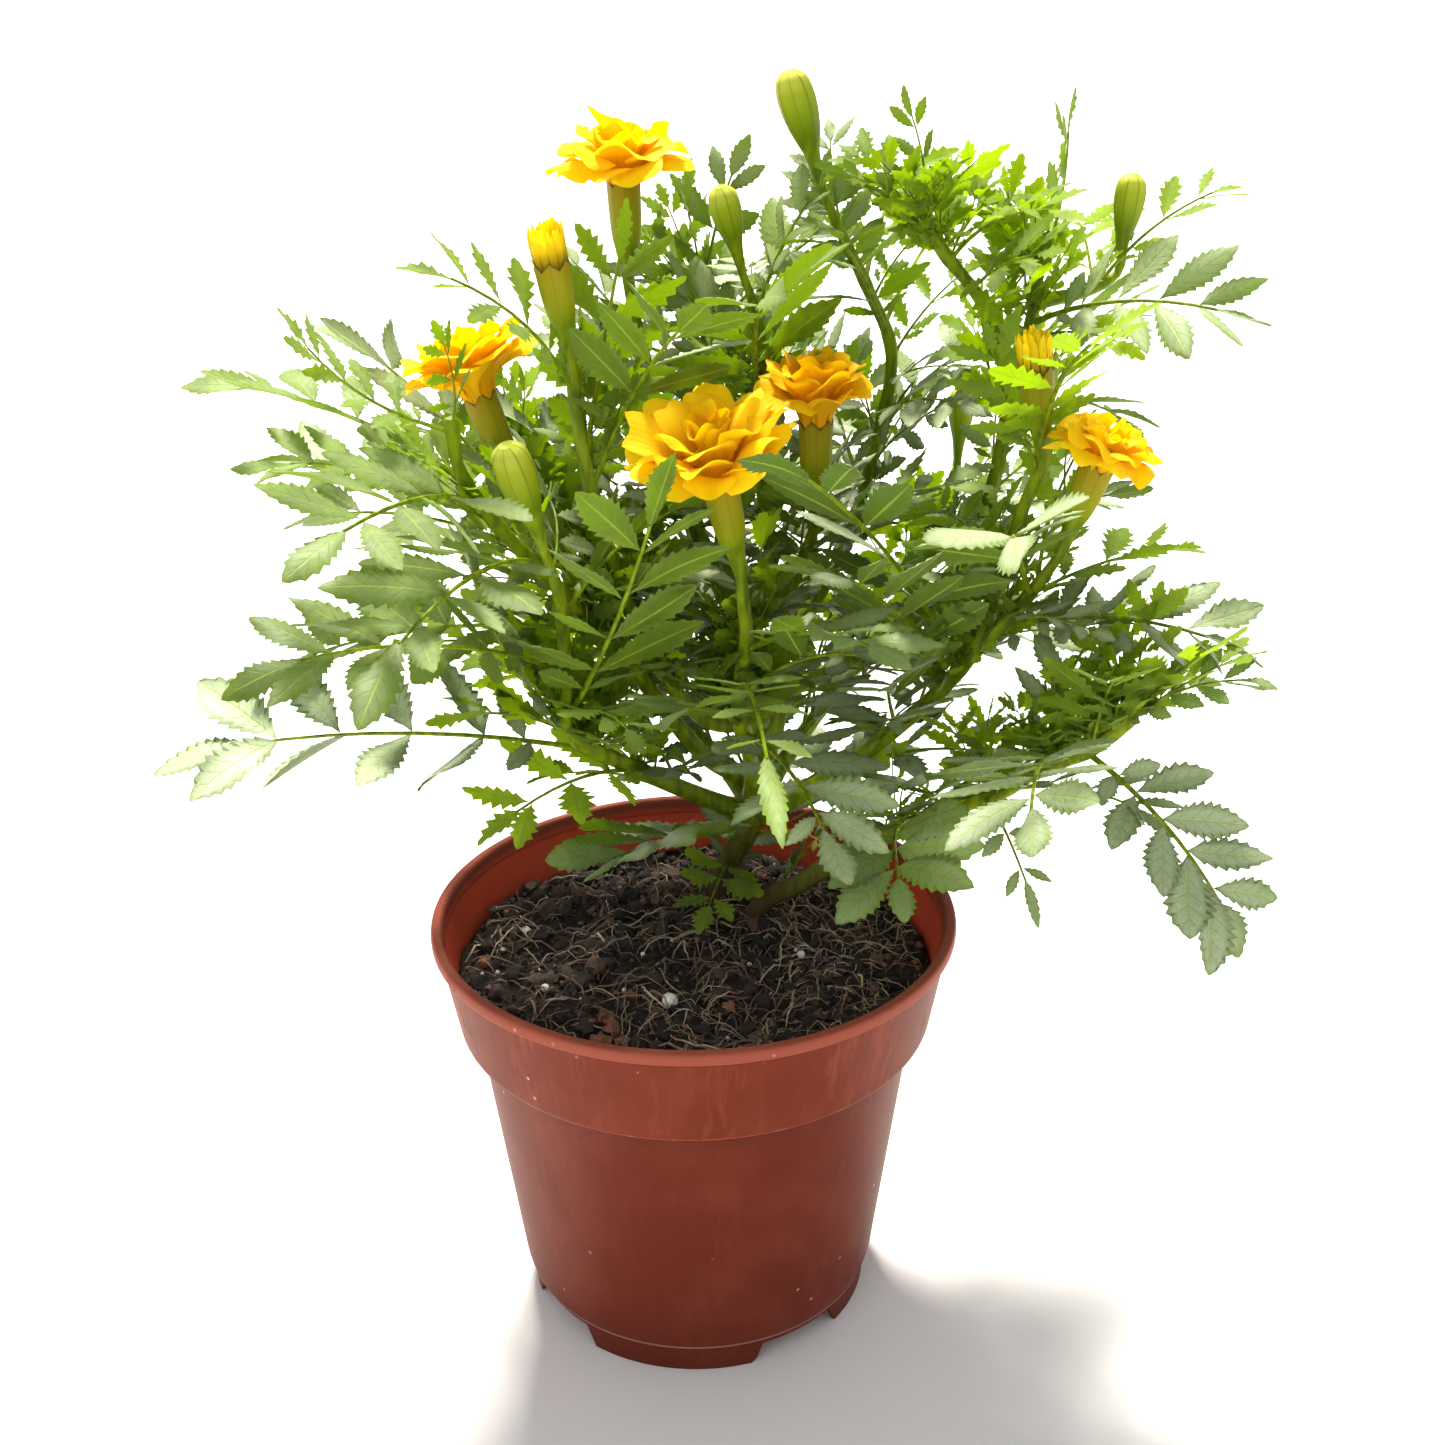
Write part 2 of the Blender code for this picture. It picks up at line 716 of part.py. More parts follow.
def turn_to(points, origin, axis):
    turn = Vector((0, 0, 1)).rotation_difference(axis)
    turned = []
    for p in points:
        q = p.copy()
        q.rotate(turn)
        turned.append(q + origin)
    return turned


blooms = {
    "left_top_bloom": ("main_stem", None, 21.0, 0),
    "left_rear_bloom": ("rear_left_stem", None, 18.5, 1),
    "front_bloom": ("front_stem", None, 21.0, 2),
    "centre_bloom": ("centre_stem", 0, 17.0, 3),
    "right_bloom": ("right_stem", None, 15.5, 4),
}
half_open_buds = {
    "left_half_open_petals": ("left_centre_stem", None),
    "right_half_open_petals": ("right_stem", 0),
}


def head_seat(node, twig):
    """The middle and direction of a head's end."""
    data = plant[node]
    path = vectors(data["path"] if twig is None else data["twigs"][twig][0])
    end = path[-1]
    ahead = (end - along_path(path, len(path) - 1 - head_run)).normalized()
    return end + ahead * gap, ahead


def build_bloom(name, node, twig, radius, number, petal_material):
    foot, ahead = head_seat(node, twig)
    points, faces = petal_whorls(radius, number)
    points = turn_to(points, foot, ahead)
    keep_clear_of(points, faces, name)
    item = make_object(name, points, faces, petal_material)
    shade(item, 40)


def build_half_open(name, node, twig, petal_material):
    """A tuft of rolled petals standing out of the calyx round a core."""
    foot, ahead = head_seat(node, twig)
    centres = turn_to([Vector((0, 0, height)) for height in tuft_heights], foot, ahead)
    core = tube(name, centres, tuft_radii, head_sides, petal_material)
    rolls = []
    for step in range(roll_count):
        angle = 2 * math.pi * step / roll_count
        ends = [Vector((out * math.cos(angle), out * math.sin(angle), height))
                for out, height in (roll_foot, roll_tip)]
        rolls.append(tube(f"{name}_{step}", turn_to(ends, foot, ahead), roll_radii, 4, petal_material))
    for item in [core] + rolls:
        keep_clear_of(*mesh_of(item), name)
    combine(core, rolls, "UNION")
    shade(core, 40)


# Pot and soil

def build_pot(material):
    rim_foot = pot_height - rim_depth
    profile = [
        (0, floor_height),
        (floor_radius, floor_height),
        (body_top_radius - wall, collar_foot + ledge_rise),
        (collar_foot_radius - wall, ledge_height),
        (collar_top_radius - wall, inner_top),
        (rim_radius - rim_flat, pot_height),
        (rim_radius - rim_bevel, pot_height - rim_bevel),
        (rim_radius, pot_height - rim_side_drop),
        (rim_radius, rim_foot),
        (collar_top_radius, rim_foot - rim_bevel),
        (collar_foot_radius, collar_foot + collar_bevel),
        (collar_foot_radius - collar_bevel, collar_foot),
        (body_top_radius, collar_foot - body_top_drop),
        (body_foot_radius, foot_height + body_foot_rise),
        (foot_radius + foot_lip, foot_height),
        (foot_radius, foot_height - foot_bevel),
        (foot_radius - foot_taper, 0),
        (foot_radius - foot_taper - wall, 0),
        (foot_radius - wall, foot_height),
        (0, foot_height),
    ]
    points, faces = lathe(profile, pot_sides)
    pot = make_object("pot", points, faces, material)
    cutters = []
    for step in range(drain_holes):
        angle = 2 * math.pi * step / drain_holes
        x = drain_ring_radius * math.cos(angle)
        y = drain_ring_radius * math.sin(angle)
        low = (x, y, foot_height - cut_past)
        high = (x, y, floor_height + cut_past)
        cutters.append(rod(f"drain_{step}", low, high, drain_radius, drain_sides))
    for step in range(foot_notches):
        angle = notch_angle + 2 * math.pi * step / foot_notches
        cutters.append(notch_block(f"notch_{step}", angle))
    combine(pot, cutters, "DIFFERENCE")
    shade(pot, 35)
    return pot


def notch_block(name, angle):
    outward = Vector((math.cos(angle), math.sin(angle), 0))
    side = Vector((-outward.y, outward.x, 0))
    points = []
    for height in (-cut_past, notch_height):
        for out in (foot_radius - notch_inwards, foot_radius + cut_past):
            for hand in (-1, 1):
                points.append(outward * out + side * (hand * notch_width / 2) + Vector((0, 0, height)))
    faces = [(0, 1, 3, 2), (4, 6, 7, 5), (0, 4, 5, 1), (2, 3, 7, 6), (0, 2, 6, 4), (1, 5, 7, 3)]
    return make_object(name, points, faces, None)


def soil_lift(radius, angle, height):
    """Low waves over the soil's top, a little higher round the plant."""
    if height < soil_top:
        return 0.0
    wave = math.sin(radius * 0.21 + 3 * angle) + math.sin(radius * 0.13 - 5 * angle + 1.0)
    return soil_bump * (wave * 0.5 + 0.6 * (1 - radius / collar_top_radius))


def build_soil(material):
    """The soil fills the pot to just under its collar and has a plain hole for each rooted stem."""
    slope = (collar_top_radius - collar_foot_radius) / (inner_top - ledge_height)
    edge_height = soil_top - soil_edge_drop
    edge_radius = collar_foot_radius - wall - soil_gap + slope * (edge_height - ledge_height)
    profile = [(soil_ring_step * ring, soil_top) for ring in range(soil_rings + 1)]
    profile += [
        (edge_radius - soil_edge_width, soil_top),
        (edge_radius, edge_height),
        (collar_foot_radius - wall - soil_gap, ledge_height + gap),
        (body_top_radius - wall - soil_gap, collar_foot + ledge_rise + gap),
        (floor_radius - soil_gap, floor_height + gap),
        (0, floor_height + gap),
    ]
    points, faces = lathe(profile, pot_sides, soil_lift)
    soil = make_object("soil", points, faces, material)
    cutters = []
    for node in rooted_stems:
        path = vectors(plant[node]["path"])
        radius = (plant[node]["radii"][0] + gap) * hole_ease
        along = path[1] - path[0]
        low = path[0] - along.normalized() * gap
        cutters.append(rod(f"hole_{node}", low, path[1] + along, radius, hole_sides))
    combine(soil, cutters, "DIFFERENCE")
    shade(soil, 60)
    return soil


def build_yellow_leaf(material):
    """A dying leaf low on the main stem, seated just off it."""
    place, off_stem, tip, arch, roll, pairs = yellow_leaf
    base = along_path(vectors(plant["main_stem"]["path"]), place) + Vector(off_stem)
    leaf = place_leaf("yellow_leaf", base, Vector(tip), arch, roll, pairs, None)
    item = make_object("yellow_leaf", *leaf, material)
    shade(item, 30)


def main():
    clear_scene()
    terracotta = make_material("terracotta_plastic", (0.25, 0.05, 0.03), 0.45)
    peat = make_material("peat", (0.03, 0.02, 0.015), 0.95)
    green = make_material("leaf_green", (0.10, 0.22, 0.04), 0.6)
    orange = make_material("petal_orange", (0.95, 0.45, 0.01), 0.6)
    yellow = make_material("petal_yellow", (0.90, 0.65, 0.02), 0.6)
    pale = make_material("yellowed_leaf", (0.55, 0.50, 0.10), 0.7)
    build_pot(terracotta)
    build_soil(peat)
    parts, branches = build_stems(green)
    for name, (node, twig, radius, number) in blooms.items():
        build_bloom(name, node, twig, radius, number, orange)
    for name, (node, twig) in half_open_buds.items():
        build_half_open(name, node, twig, yellow)
    build_leaves(parts, branches, green)
    build_yellow_leaf(pale)
    for node, items in parts.items():
        combine(items[0], items[1:], "UNION")
        shade(items[0], 40)


main()
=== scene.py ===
import math
import random

import bpy
import numpy as np
from mathutils import Matrix, Quaternion, Vector, noise
from mathutils.bvhtree import BVHTree


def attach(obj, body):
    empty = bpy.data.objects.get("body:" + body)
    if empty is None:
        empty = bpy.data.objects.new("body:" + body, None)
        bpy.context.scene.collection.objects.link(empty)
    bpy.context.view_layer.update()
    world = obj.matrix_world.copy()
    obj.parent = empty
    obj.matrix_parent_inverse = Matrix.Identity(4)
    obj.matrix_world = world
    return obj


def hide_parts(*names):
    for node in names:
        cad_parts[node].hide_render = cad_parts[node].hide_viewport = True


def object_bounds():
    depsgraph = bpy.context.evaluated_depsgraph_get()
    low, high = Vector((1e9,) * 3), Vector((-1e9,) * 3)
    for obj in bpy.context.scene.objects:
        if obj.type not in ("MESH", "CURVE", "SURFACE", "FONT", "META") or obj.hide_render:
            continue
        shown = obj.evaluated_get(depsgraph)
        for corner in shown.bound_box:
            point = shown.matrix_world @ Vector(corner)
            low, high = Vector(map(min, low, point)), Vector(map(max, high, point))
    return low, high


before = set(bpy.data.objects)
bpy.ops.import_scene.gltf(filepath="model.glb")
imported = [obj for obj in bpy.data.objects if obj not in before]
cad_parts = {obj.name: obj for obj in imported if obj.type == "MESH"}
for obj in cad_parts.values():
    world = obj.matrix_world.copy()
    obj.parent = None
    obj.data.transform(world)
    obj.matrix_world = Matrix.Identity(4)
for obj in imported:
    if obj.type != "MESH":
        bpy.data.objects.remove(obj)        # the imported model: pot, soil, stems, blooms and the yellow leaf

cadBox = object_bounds()
mm = 0.001
up = Vector((0, 0, 1))
print("frame loaded,", len(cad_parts), "nodes")

# Lengths below are in millimetres. The model is in metres, so each mesh is scaled as it is made.


# Small tools

def linear(colour):  # sRGB hex to linear RGBA
    values = [int(colour[k:k + 2], 16) / 255 for k in (1, 3, 5)]
    return [v / 12.92 if v <= 0.04045 else ((v + 0.055) / 1.055) ** 2.4 for v in values] + [1.0]


def add(tree, kind, settings=None, links=None):  # one node with its settings and links
    node = tree.nodes.new(kind)
    for name, value in (settings or {}).items():
        if name == "stops":
            while len(node.color_ramp.elements) < len(value):
                node.color_ramp.elements.new(0.5)
            for stop, (place, colour) in zip(node.color_ramp.elements, value):
                stop.position = place
                stop.color = linear(colour)
        elif isinstance(name, str) and hasattr(node, name):
            setattr(node, name, value)
        else:
            node.inputs[name].default_value = value
    for name, socket in (links or {}).items():
        tree.links.new(socket, node.inputs[name])
    return node


def newMaterial(name, roughness, ior=1.45, **sockets):  # other sockets by name, with _ for a space
    material = bpy.data.materials.new(name)
    material.use_nodes = True
    tree = material.node_tree
    shader = tree.nodes["Principled BSDF"]
    shader.inputs["Roughness"].default_value = roughness
    shader.inputs["IOR"].default_value = ior
    for socket, value in sockets.items():
        shader.inputs[socket.replace("_", " ")].default_value = value
    return material, tree, shader


def mapRange(tree, value, low, high, toLow=0.0, toHigh=1.0):
    settings = {"interpolation_type": "SMOOTHSTEP", "From Min": low, "From Max": high,
                "To Min": toLow, "To Max": toHigh}
    return add(tree, "ShaderNodeMapRange", settings, {"Value": value}).outputs["Result"]


def calc(tree, operation, first, second=None):  # first and second are sockets or numbers
    settings, links = {"operation": operation}, {}
    for index, value in enumerate((first, second)):
        if isinstance(value, (int, float)):
            settings[index] = value
        elif value is not None:
            links[index] = value
    return add(tree, "ShaderNodeMath", settings, links).outputs[0]


def blendColours(tree, share, first, second, kind="MIX"):  # 6 and 7 are a Mix node's colour inputs
    settings, links = {"data_type": "RGBA", "blend_type": kind}, {}
    for index, value in ((0, share), (6, first), (7, second)):
        if isinstance(value, (int, float)):
            settings[index] = value
        elif isinstance(value, str):
            settings[index] = linear(value)
        else:
            links[index] = value
    return add(tree, "ShaderNodeMix", settings, links).outputs[2]


def lay(tree, colour, share, strength, below):  # a colour over the one below, by share times strength
    return blendColours(tree, calc(tree, "MULTIPLY", share, strength), below, colour)


def objectPlace(tree):  # in metres, from the pot's middle on the floor
    return add(tree, "ShaderNodeTexCoord").outputs["Object"]


def split(tree, kind, settings, output):  # a source node, and its output's X, Y and Z
    source = add(tree, kind, settings).outputs[output]
    return add(tree, "ShaderNodeSeparateXYZ", None, {"Vector": source}).outputs


def bladeAxes(tree):  # X goes across a blade and Y along it
    return split(tree, "ShaderNodeUVMap", {"uv_map": "blade"}, "UV")


def toneParts(tree):  # the three numbers that a batch was poured with
    return split(tree, "ShaderNodeAttribute", {"attribute_name": "tone"}, "Vector")


def speckle(tree, place, size, detail=3.0, rough=0.55, stretch=(1, 1, 1)):  # noise with blobs of size mm
    moved = add(tree, "ShaderNodeMapping", {"Scale": stretch}, {"Vector": place}).outputs["Vector"]
    settings = {"Scale": 1 / (size * mm), "Detail": detail, "Roughness": rough}
    return add(tree, "ShaderNodeTexNoise", settings, {"Vector": moved}).outputs["Fac"]


def roughen(tree, shader, height, strength, depth):  # depth in mm
    bump = add(tree, "ShaderNodeBump", {"Strength": strength, "Distance": depth * mm}, {"Height": height})
    tree.links.new(bump.outputs["Normal"], shader.inputs["Normal"])


def throughLight(tree, shader, colour, share):  # a thin sheet that also lets light through
    passing = add(tree, "ShaderNodeBsdfTranslucent", None, {"Color": colour})
    settings, links = {}, {1: shader.outputs["BSDF"], 2: passing.outputs["BSDF"]}
    if isinstance(share, float):
        settings["Fac"] = share
    else:
        links["Fac"] = share
    mixed = add(tree, "ShaderNodeMixShader", settings, links)
    tree.links.new(mixed.outputs["Shader"], tree.nodes["Material Output"].inputs["Surface"])


# Meshes are gathered in batches: points, faces, a blade map, tones and a material number for each face

def newBatch():
    return {"points": [], "faces": [], "map": [], "tone": [], "kind": [], "count": 0}


def pour(batch, points, faces, places=None, tone=(0, 0, 0), kind=0):
    first = batch["count"]
    places = np.zeros((len(points), 2)) if places is None else places
    batch["points"].append(np.asarray(points, dtype=np.float64))
    batch["map"].append(np.asarray(places, dtype=np.float64))
    batch["tone"].append(np.broadcast_to(np.asarray(tone, dtype=np.float64), (len(points), 3)))
    batch["faces"].extend([tuple(first + k for k in face) for face in faces])
    batch["kind"].extend([kind] * len(faces))
    batch["count"] += len(points)


def makePiece(name, batch, materials, replaced=(), sharp=40):  # replaced: nodes; sharp: degrees
    points = np.concatenate(batch["points"]) * mm
    mesh = bpy.data.meshes.new(name)
    mesh.from_pydata(points.tolist(), [], batch["faces"])
    corners = np.zeros(len(mesh.loops), dtype=np.int32)
    mesh.loops.foreach_get("vertex_index", corners)
    places = np.concatenate(batch["map"])[corners]
    mesh.uv_layers.new(name="blade").uv.foreach_set("vector", places.astype(np.float32).ravel())
    tone = mesh.attributes.new("tone", "FLOAT_VECTOR", "POINT")
    tone.data.foreach_set("vector", np.concatenate(batch["tone"]).astype(np.float32).ravel())
    for material in materials:
        mesh.materials.append(material)
    mesh.polygons.foreach_set("material_index", np.array(batch["kind"], dtype=np.int32))
    mesh.shade_smooth()
    mesh.set_sharp_from_angle(angle=math.radians(sharp))
    piece = bpy.data.objects.new(name, mesh)
    bpy.context.scene.collection.objects.link(piece)
    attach(piece, "root")
    if replaced:
        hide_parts(*replaced)
    triangles = sum(len(face) - 2 for face in batch["faces"])
    print(name, triangles, "triangles")
    return triangles


def clamp(value):
    return min(1.0, max(0.0, value))


def alongPath(path, place):  # a smooth curve through the path's points, or through plain numbers
    last = len(path) - 1
    number = min(int(place), last - 1)
    t = place - number
    b, c = path[number], path[number + 1]
    a = path[number - 1] if number > 0 else b * 2 - c
    d = path[number + 2] if number + 2 <= last else c * 2 - b
    return 0.5 * (2 * b + (c - a) * t + (2 * a - 5 * b + 4 * c - d) * t * t
                  + (3 * b - a - 3 * c + d) * t * t * t)


def bandFaces(low, high, sides):  # the faces between two rings, given by their first points
    return [(low + k, low + (k + 1) % sides, high + (k + 1) % sides, high + k) for k in range(sides)]


def ringPoints(centres, radii, sides, swell=None):  # rings round a line, and their faces
    ahead = (centres[1] - centres[0]).normalized()
    across = ahead.orthogonal().normalized()
    points = []
    for number, centre in enumerate(centres):
        before = centres[max(number - 1, 0)]
        after = centres[min(number + 1, len(centres) - 1)]
        turned = (after - before).normalized()
        across = (across - turned * across.dot(turned)).normalized()
        other = turned.cross(across)
        for step in range(sides):
            angle = 2 * math.pi * step / sides
            wide, lift = swell(number, angle) if swell else (1.0, 0.0)
            spread = across * math.cos(angle) + other * math.sin(angle)
            points.append(centre + spread * (radii[number] * wide) + turned * lift)
    faces = []
    for number in range(len(centres) - 1):
        faces += bandFaces(number * sides, (number + 1) * sides, sides)
    return points, faces


def closeEnds(faces, rings, sides):  # the caps on the first and the last ring
    faces.append(tuple(reversed(range(sides))))
    faces.append(tuple(range((rings - 1) * sides, rings * sides)))


# The plant's own values, the same as in the part's source

bladeThick = 0.7
bladeMargin = 0.5
rachisWidth = 1.7
firstPair, lastPair, terminalAt = 0.24, 0.70, 0.76
leafletFoot = 2.6
leafletReach, leafletSwell, leafletLongest = 0.25, 0.10, 30.0
leafletLean, leafletLeanDrop = 64.0, 20.0
leafletOutline = [(0.36, 0.18), (1.0, 0.0), (0.62, -0.18)]  # shares of its length, along and across
leafletFold = math.radians(14.0)
leafletSag = 0.10
terminalWidth = 0.19
leafFacing = 0.35
plantAxis = Vector((12, 40, 0))
reachSideways, reachFore = 150.2, 124.6
soilTop, leafOverSoil = 107.0, 3.0
gap = 0.3
seatStart, seatStep, seatTries = 4.5, 0.15, 90  # how a stem's foot is moved up until it clears its carrier
stemSides, headSides = 5, 6
headAim = 0.4  # the part of a path's last step that gives its head's direction

# Heads: distance back from the head's end, and radius there
heads = {
    "calyx": [(0.0, 5.0), (3.0, 4.8), (16.0, 4.3), (21.0, 2.6), (30.0, 1.5)],
    "slim_calyx": [(0.0, 4.6), (3.0, 4.7), (13.0, 3.9), (19.0, 2.2), (27.0, 1.3)],
    "bud": [(0.0, 2.0), (2.0, 3.9), (7.0, 5.3), (14.0, 5.0), (20.0, 3.2), (25.0, 2.0), (34.0, 1.2)],
    "small_bud": [(0.0, 1.6), (2.0, 3.2), (6.0, 4.3), (12.0, 3.9), (17.0, 2.0), (26.0, 1.1)],
}

# A leaf is (place on the stem's path, tip, arch, roll, pairs of leaflets)
plant = {
    "main_stem": {
        "path": [(5, 41, 96), (9, 40, 112), (14, 37, 125), (19, 33, 137), (21, 37, 158), (17, 45, 184),
                 (6, 53, 212), (-5, 58, 242), (-12, 60, 272), (-15, 60, 296), (-16, 60, 319)],
        "radii": (3.5, 1.6), "head": "calyx", "twigs": [],
        "leaves": [(2.2, (-30, -22, 146), 5, 0, 4), (1.3, (1, -4, 117), 7, 0, 3),
                   (6.4, (-20, 120, 232), 12, 0, 3)],
    },
    "low_left_stem": {
        "path": [(15, 31, 139), (-4, 24, 151), (-20, 10, 166), (-32, 0, 179), (-33, -10, 204),
                 (-33, -20, 226), (-38, -29, 250), (-43, -36, 271)],
        "radii": (2.7, 1.3), "head": "bud", "twigs": [],
        "leaves": [(2.5, (-150, -4, 174), 9, -30, 4), (3.3, (-3, -60, 277), -5, 20, 4),
                   (2.8, (-54, -28, 250), -6, -30, 4), (1.6, (-58, -24, 158), 9, -20, 3),
                   (3.9, (-108, -60, 214), 10, -20, 4)],
    },
    "upper_left_stem": {
        "path": [(14, 34, 150), (2, 26, 162), (-18, 9, 198), (-36, -10, 228), (-47, -20, 245),
                 (-55, -28, 262), (-56, -32, 276)],
        "radii": (2.6, 1.5), "head": None, "twigs": [],
        "leaves": [(4.8, (-124, -12, 282), 6, -10, 4), (5.8, (-94, -34, 304), -6, -25, 4),
                   (4.1, (-112, -24, 262), 8, -25, 4), (2.3, (-131, -8, 222), 9, -30, 4),
                   (4.4, (-84, -100, 262), 9, -15, 4), (3.3, (-44, -118, 236), 10, 0, 4),
                   (5.9, (-57, -44, 303), -3, 80, 3)],
    },
    "rear_left_stem": {
        "path": [(13, 50, 190), (-6, 42, 198), (-26, 30, 212), (-40, 22, 226), (-46, 21, 240),
                 (-50, 22, 254), (-55, 24, 268)],
        "radii": (2.0, 1.4), "head": "calyx", "twigs": [],
        "leaves": [(2.2, (-128, 46, 246), 9, 0, 4), (3.0, (-104, 62, 282), 6, 0, 3),
                   (1.5, (-60, 106, 246), 9, 0, 3)],
    },
    "left_centre_stem": {
        "path": [(17, 35, 166), (3, 22, 174), (-13, 9, 204), (-23, 1, 240), (-27, -5, 266),
                 (-28, -7, 280), (-30, -9, 296), (-32, -11, 310)],
        "radii": (2.2, 1.4), "head": "slim_calyx", "twigs": [],
        "leaves": [(4.6, (-68, -22, 312), 8, -40, 4), (3.6, (-12, 2, 322), -4, 0, 4),
                   (3.3, (-22, -78, 268), 9, 0, 4)],
    },
    "centre_stem": {
        "path": [(23, 32, 160), (26, 30, 172), (26, 35, 200), (22, 43, 230), (21, 46, 257), (20, 44, 283),
                 (15, 40, 301), (10, 36, 320)],
        "radii": (2.2, 1.3), "head": "small_bud",
        "leaves": [(4.3, (-24, 48, 300), 7, 0, 4), (5.0, (48, 52, 330), 5, 0, 4),
                   (4.0, (22, -38, 300), 8, 0, 4)],
        "twigs": [([(26, 35, 200), (32, 29, 218), (35, 24, 240), (35, 22, 261)], (1.9, 1.4), "calyx", [])],
    },
    "front_stem": {
        "path": [(18, 29, 146), (17, 18, 162), (13, 2, 187), (15, -8, 209), (14, -13, 223),
                 (12, -17, 237), (8, -23, 258)],
        "radii": (2.4, 1.4), "head": "calyx", "twigs": [],
        "leaves": [(2.8, (52, -62, 222), 7, 0, 4), (1.6, (-6, -52, 206), 4, 0, 3),
                   (2.2, (18, -124, 200), 12, 0, 4), (1.5, (38, -66, 166), 8, 0, 4)],
    },
    "rear_right_stem": {
        "path": [(19, 46, 178), (30, 54, 186), (46, 64, 208), (57, 69, 244), (60, 68, 268),
                 (53, 65, 286), (45, 62, 302), (37, 59, 322), (29, 56, 347)],
        "radii": (2.3, 1.3), "head": "bud", "twigs": [],
        "leaves": [(4.2, (34, 20, 318), 6, 0, 3), (3.0, (112, 96, 268), 9, 0, 3),
                   (5.2, (74, 114, 318), 6, 0, 3)],
    },
    "right_stem": {
        "path": [(24, 30, 140), (43, 20, 157), (66, 5, 185), (77, -5, 204), (86, -10, 217),
                 (95, -17, 237), (99, -19, 248), (103, -20, 260)],
        "radii": (2.7, 1.4), "head": "slim_calyx",
        "leaves": [(2.6, (13, -56, 287), 8, -20, 4), (2.2, (24, -62, 232), 8, -15, 4),
                   (3.6, (146, -36, 212), 8, 20, 4), (4.3, (60, -104, 256), 9, 0, 4)],
        "twigs": [([(77, -5, 204), (82, -6, 226), (88, -10, 250), (89, -12, 266), (87, -13, 283)],
                   (1.8, 1.4), "slim_calyx", [(2.6, (118, -70, 282), 6, 0, 4)])],
    },
    "upper_right_stem": {
        "path": [(22, 44, 170), (44, 44, 180), (64, 38, 196), (78, 32, 214), (85, 30, 240),
                 (89, 30, 266), (93, 30, 284), (94, 30, 298)],
        "radii": (2.6, 1.6), "head": None,
        "leaves": [(6.7, (99, 30, 345), -3, 0, 4), (6.0, (150, -4, 289), 10, 30, 4),
                   (4.6, (132, 56, 244), 9, 10, 3)],
        "twigs": [
            ([(89, 30, 266), (80, 28, 289), (69, 25, 303), (63, 24, 312)], (1.9, 1.5), None,
             [(2.2, (33, 16, 328), 4, 0, 3), (3.0, (52, 34, 343), -3, 0, 3), (1.9, (96, -18, 320), 6, 0, 3)]),
            ([(94, 30, 290), (107, 32, 292), (116, 35, 300), (119, 36, 322)], (1.7, 1.3), "small_bud",
             [(1.5, (150, 36, 320), 5, 20, 3)]),
        ],
    },
    "low_right_stem": {
        "path": [(16, 24, 96), (20, 22, 112), (33, 15, 124), (46, 7, 138), (71, -8, 158),
                 (84, -16, 167), (93, -22, 177), (103, -30, 185), (112, -36, 196)],
        "radii": (3.2, 1.7), "head": None, "twigs": [],
        "leaves": [(7.0, (143, -60, 142), 9, 20, 4), (7.6, (148, -44, 208), 7, 20, 4),
                   (6.0, (124, 12, 214), 9, 15, 4), (3.5, (54, -56, 150), 9, 0, 4),
                   (4.6, (84, -60, 150), 9, 0, 3), (6.4, (74, -110, 196), 9, 0, 4)],
    },
    "rear_stem": {
        "path": [(9, 56, 206), (12, 72, 214), (14, 88, 232), (10, 98, 254), (5, 104, 278)],
        "radii": (2.0, 1.4), "head": None, "twigs": [],
        "leaves": [(2.0, (60, 122, 232), 9, 0, 3), (3.0, (-50, 122, 262), 8, 0, 3),
                   (3.8, (20, 100, 326), 5, 0, 3)],
    },
    "rear_low_right_stem": {
        "path": [(24, 38, 146), (38, 56, 158), (56, 76, 172), (76, 92, 194), (84, 98, 222),
                 (86, 100, 250)],
        "radii": (2.4, 1.5), "head": "small_bud", "twigs": [],
        "leaves": [(1.8, (128, 70, 178), 9, 0, 4), (2.6, (60, 124, 184), 9, 0, 3),
                   (3.2, (138, 92, 214), 9, 0, 3)],
    },
    "rear_low_left_stem": {
        "path": [(18, 38, 138), (3, 54, 153), (-24, 76, 173), (-46, 92, 196), (-56, 98, 224)],
        "radii": (2.4, 1.5), "head": None, "twigs": [],
        "leaves": [(1.6, (-92, 50, 186), 9, 0, 4), (2.4, (-30, 124, 194), 9, 0, 3),
                   (3.1, (-124, 80, 216), 9, 0, 3), (3.9, (-80, 112, 258), 5, 0, 3)],
    },
}
rootedStems = ("main_stem", "low_right_stem")

# The dying leaf: place on the main stem, its foot's offset from there, tip, arch, roll, pairs
yellowLeaf = (2.4, (4.2, -1.2, 0.3), (44, 2, 134), 5, 0, 3)

# Blooms: stem, twig, radius, number of its random draws
blooms = {
    "left_top_bloom": ("main_stem", None, 21.0, 0),
    "left_rear_bloom": ("rear_left_stem", None, 18.5, 1),
    "front_bloom": ("front_stem", None, 21.0, 2),
    "centre_bloom": ("centre_stem", 0, 17.0, 3),
    "right_bloom": ("right_stem", None, 15.5, 4),
}
halfOpenBuds = {
    "left_half_open_petals": ("left_centre_stem", None),
    "right_half_open_petals": ("right_stem", 0),
}


# Where the leaves hang: the same rule as in the part's source

def vectors(points):
    return [Vector(p) for p in points]


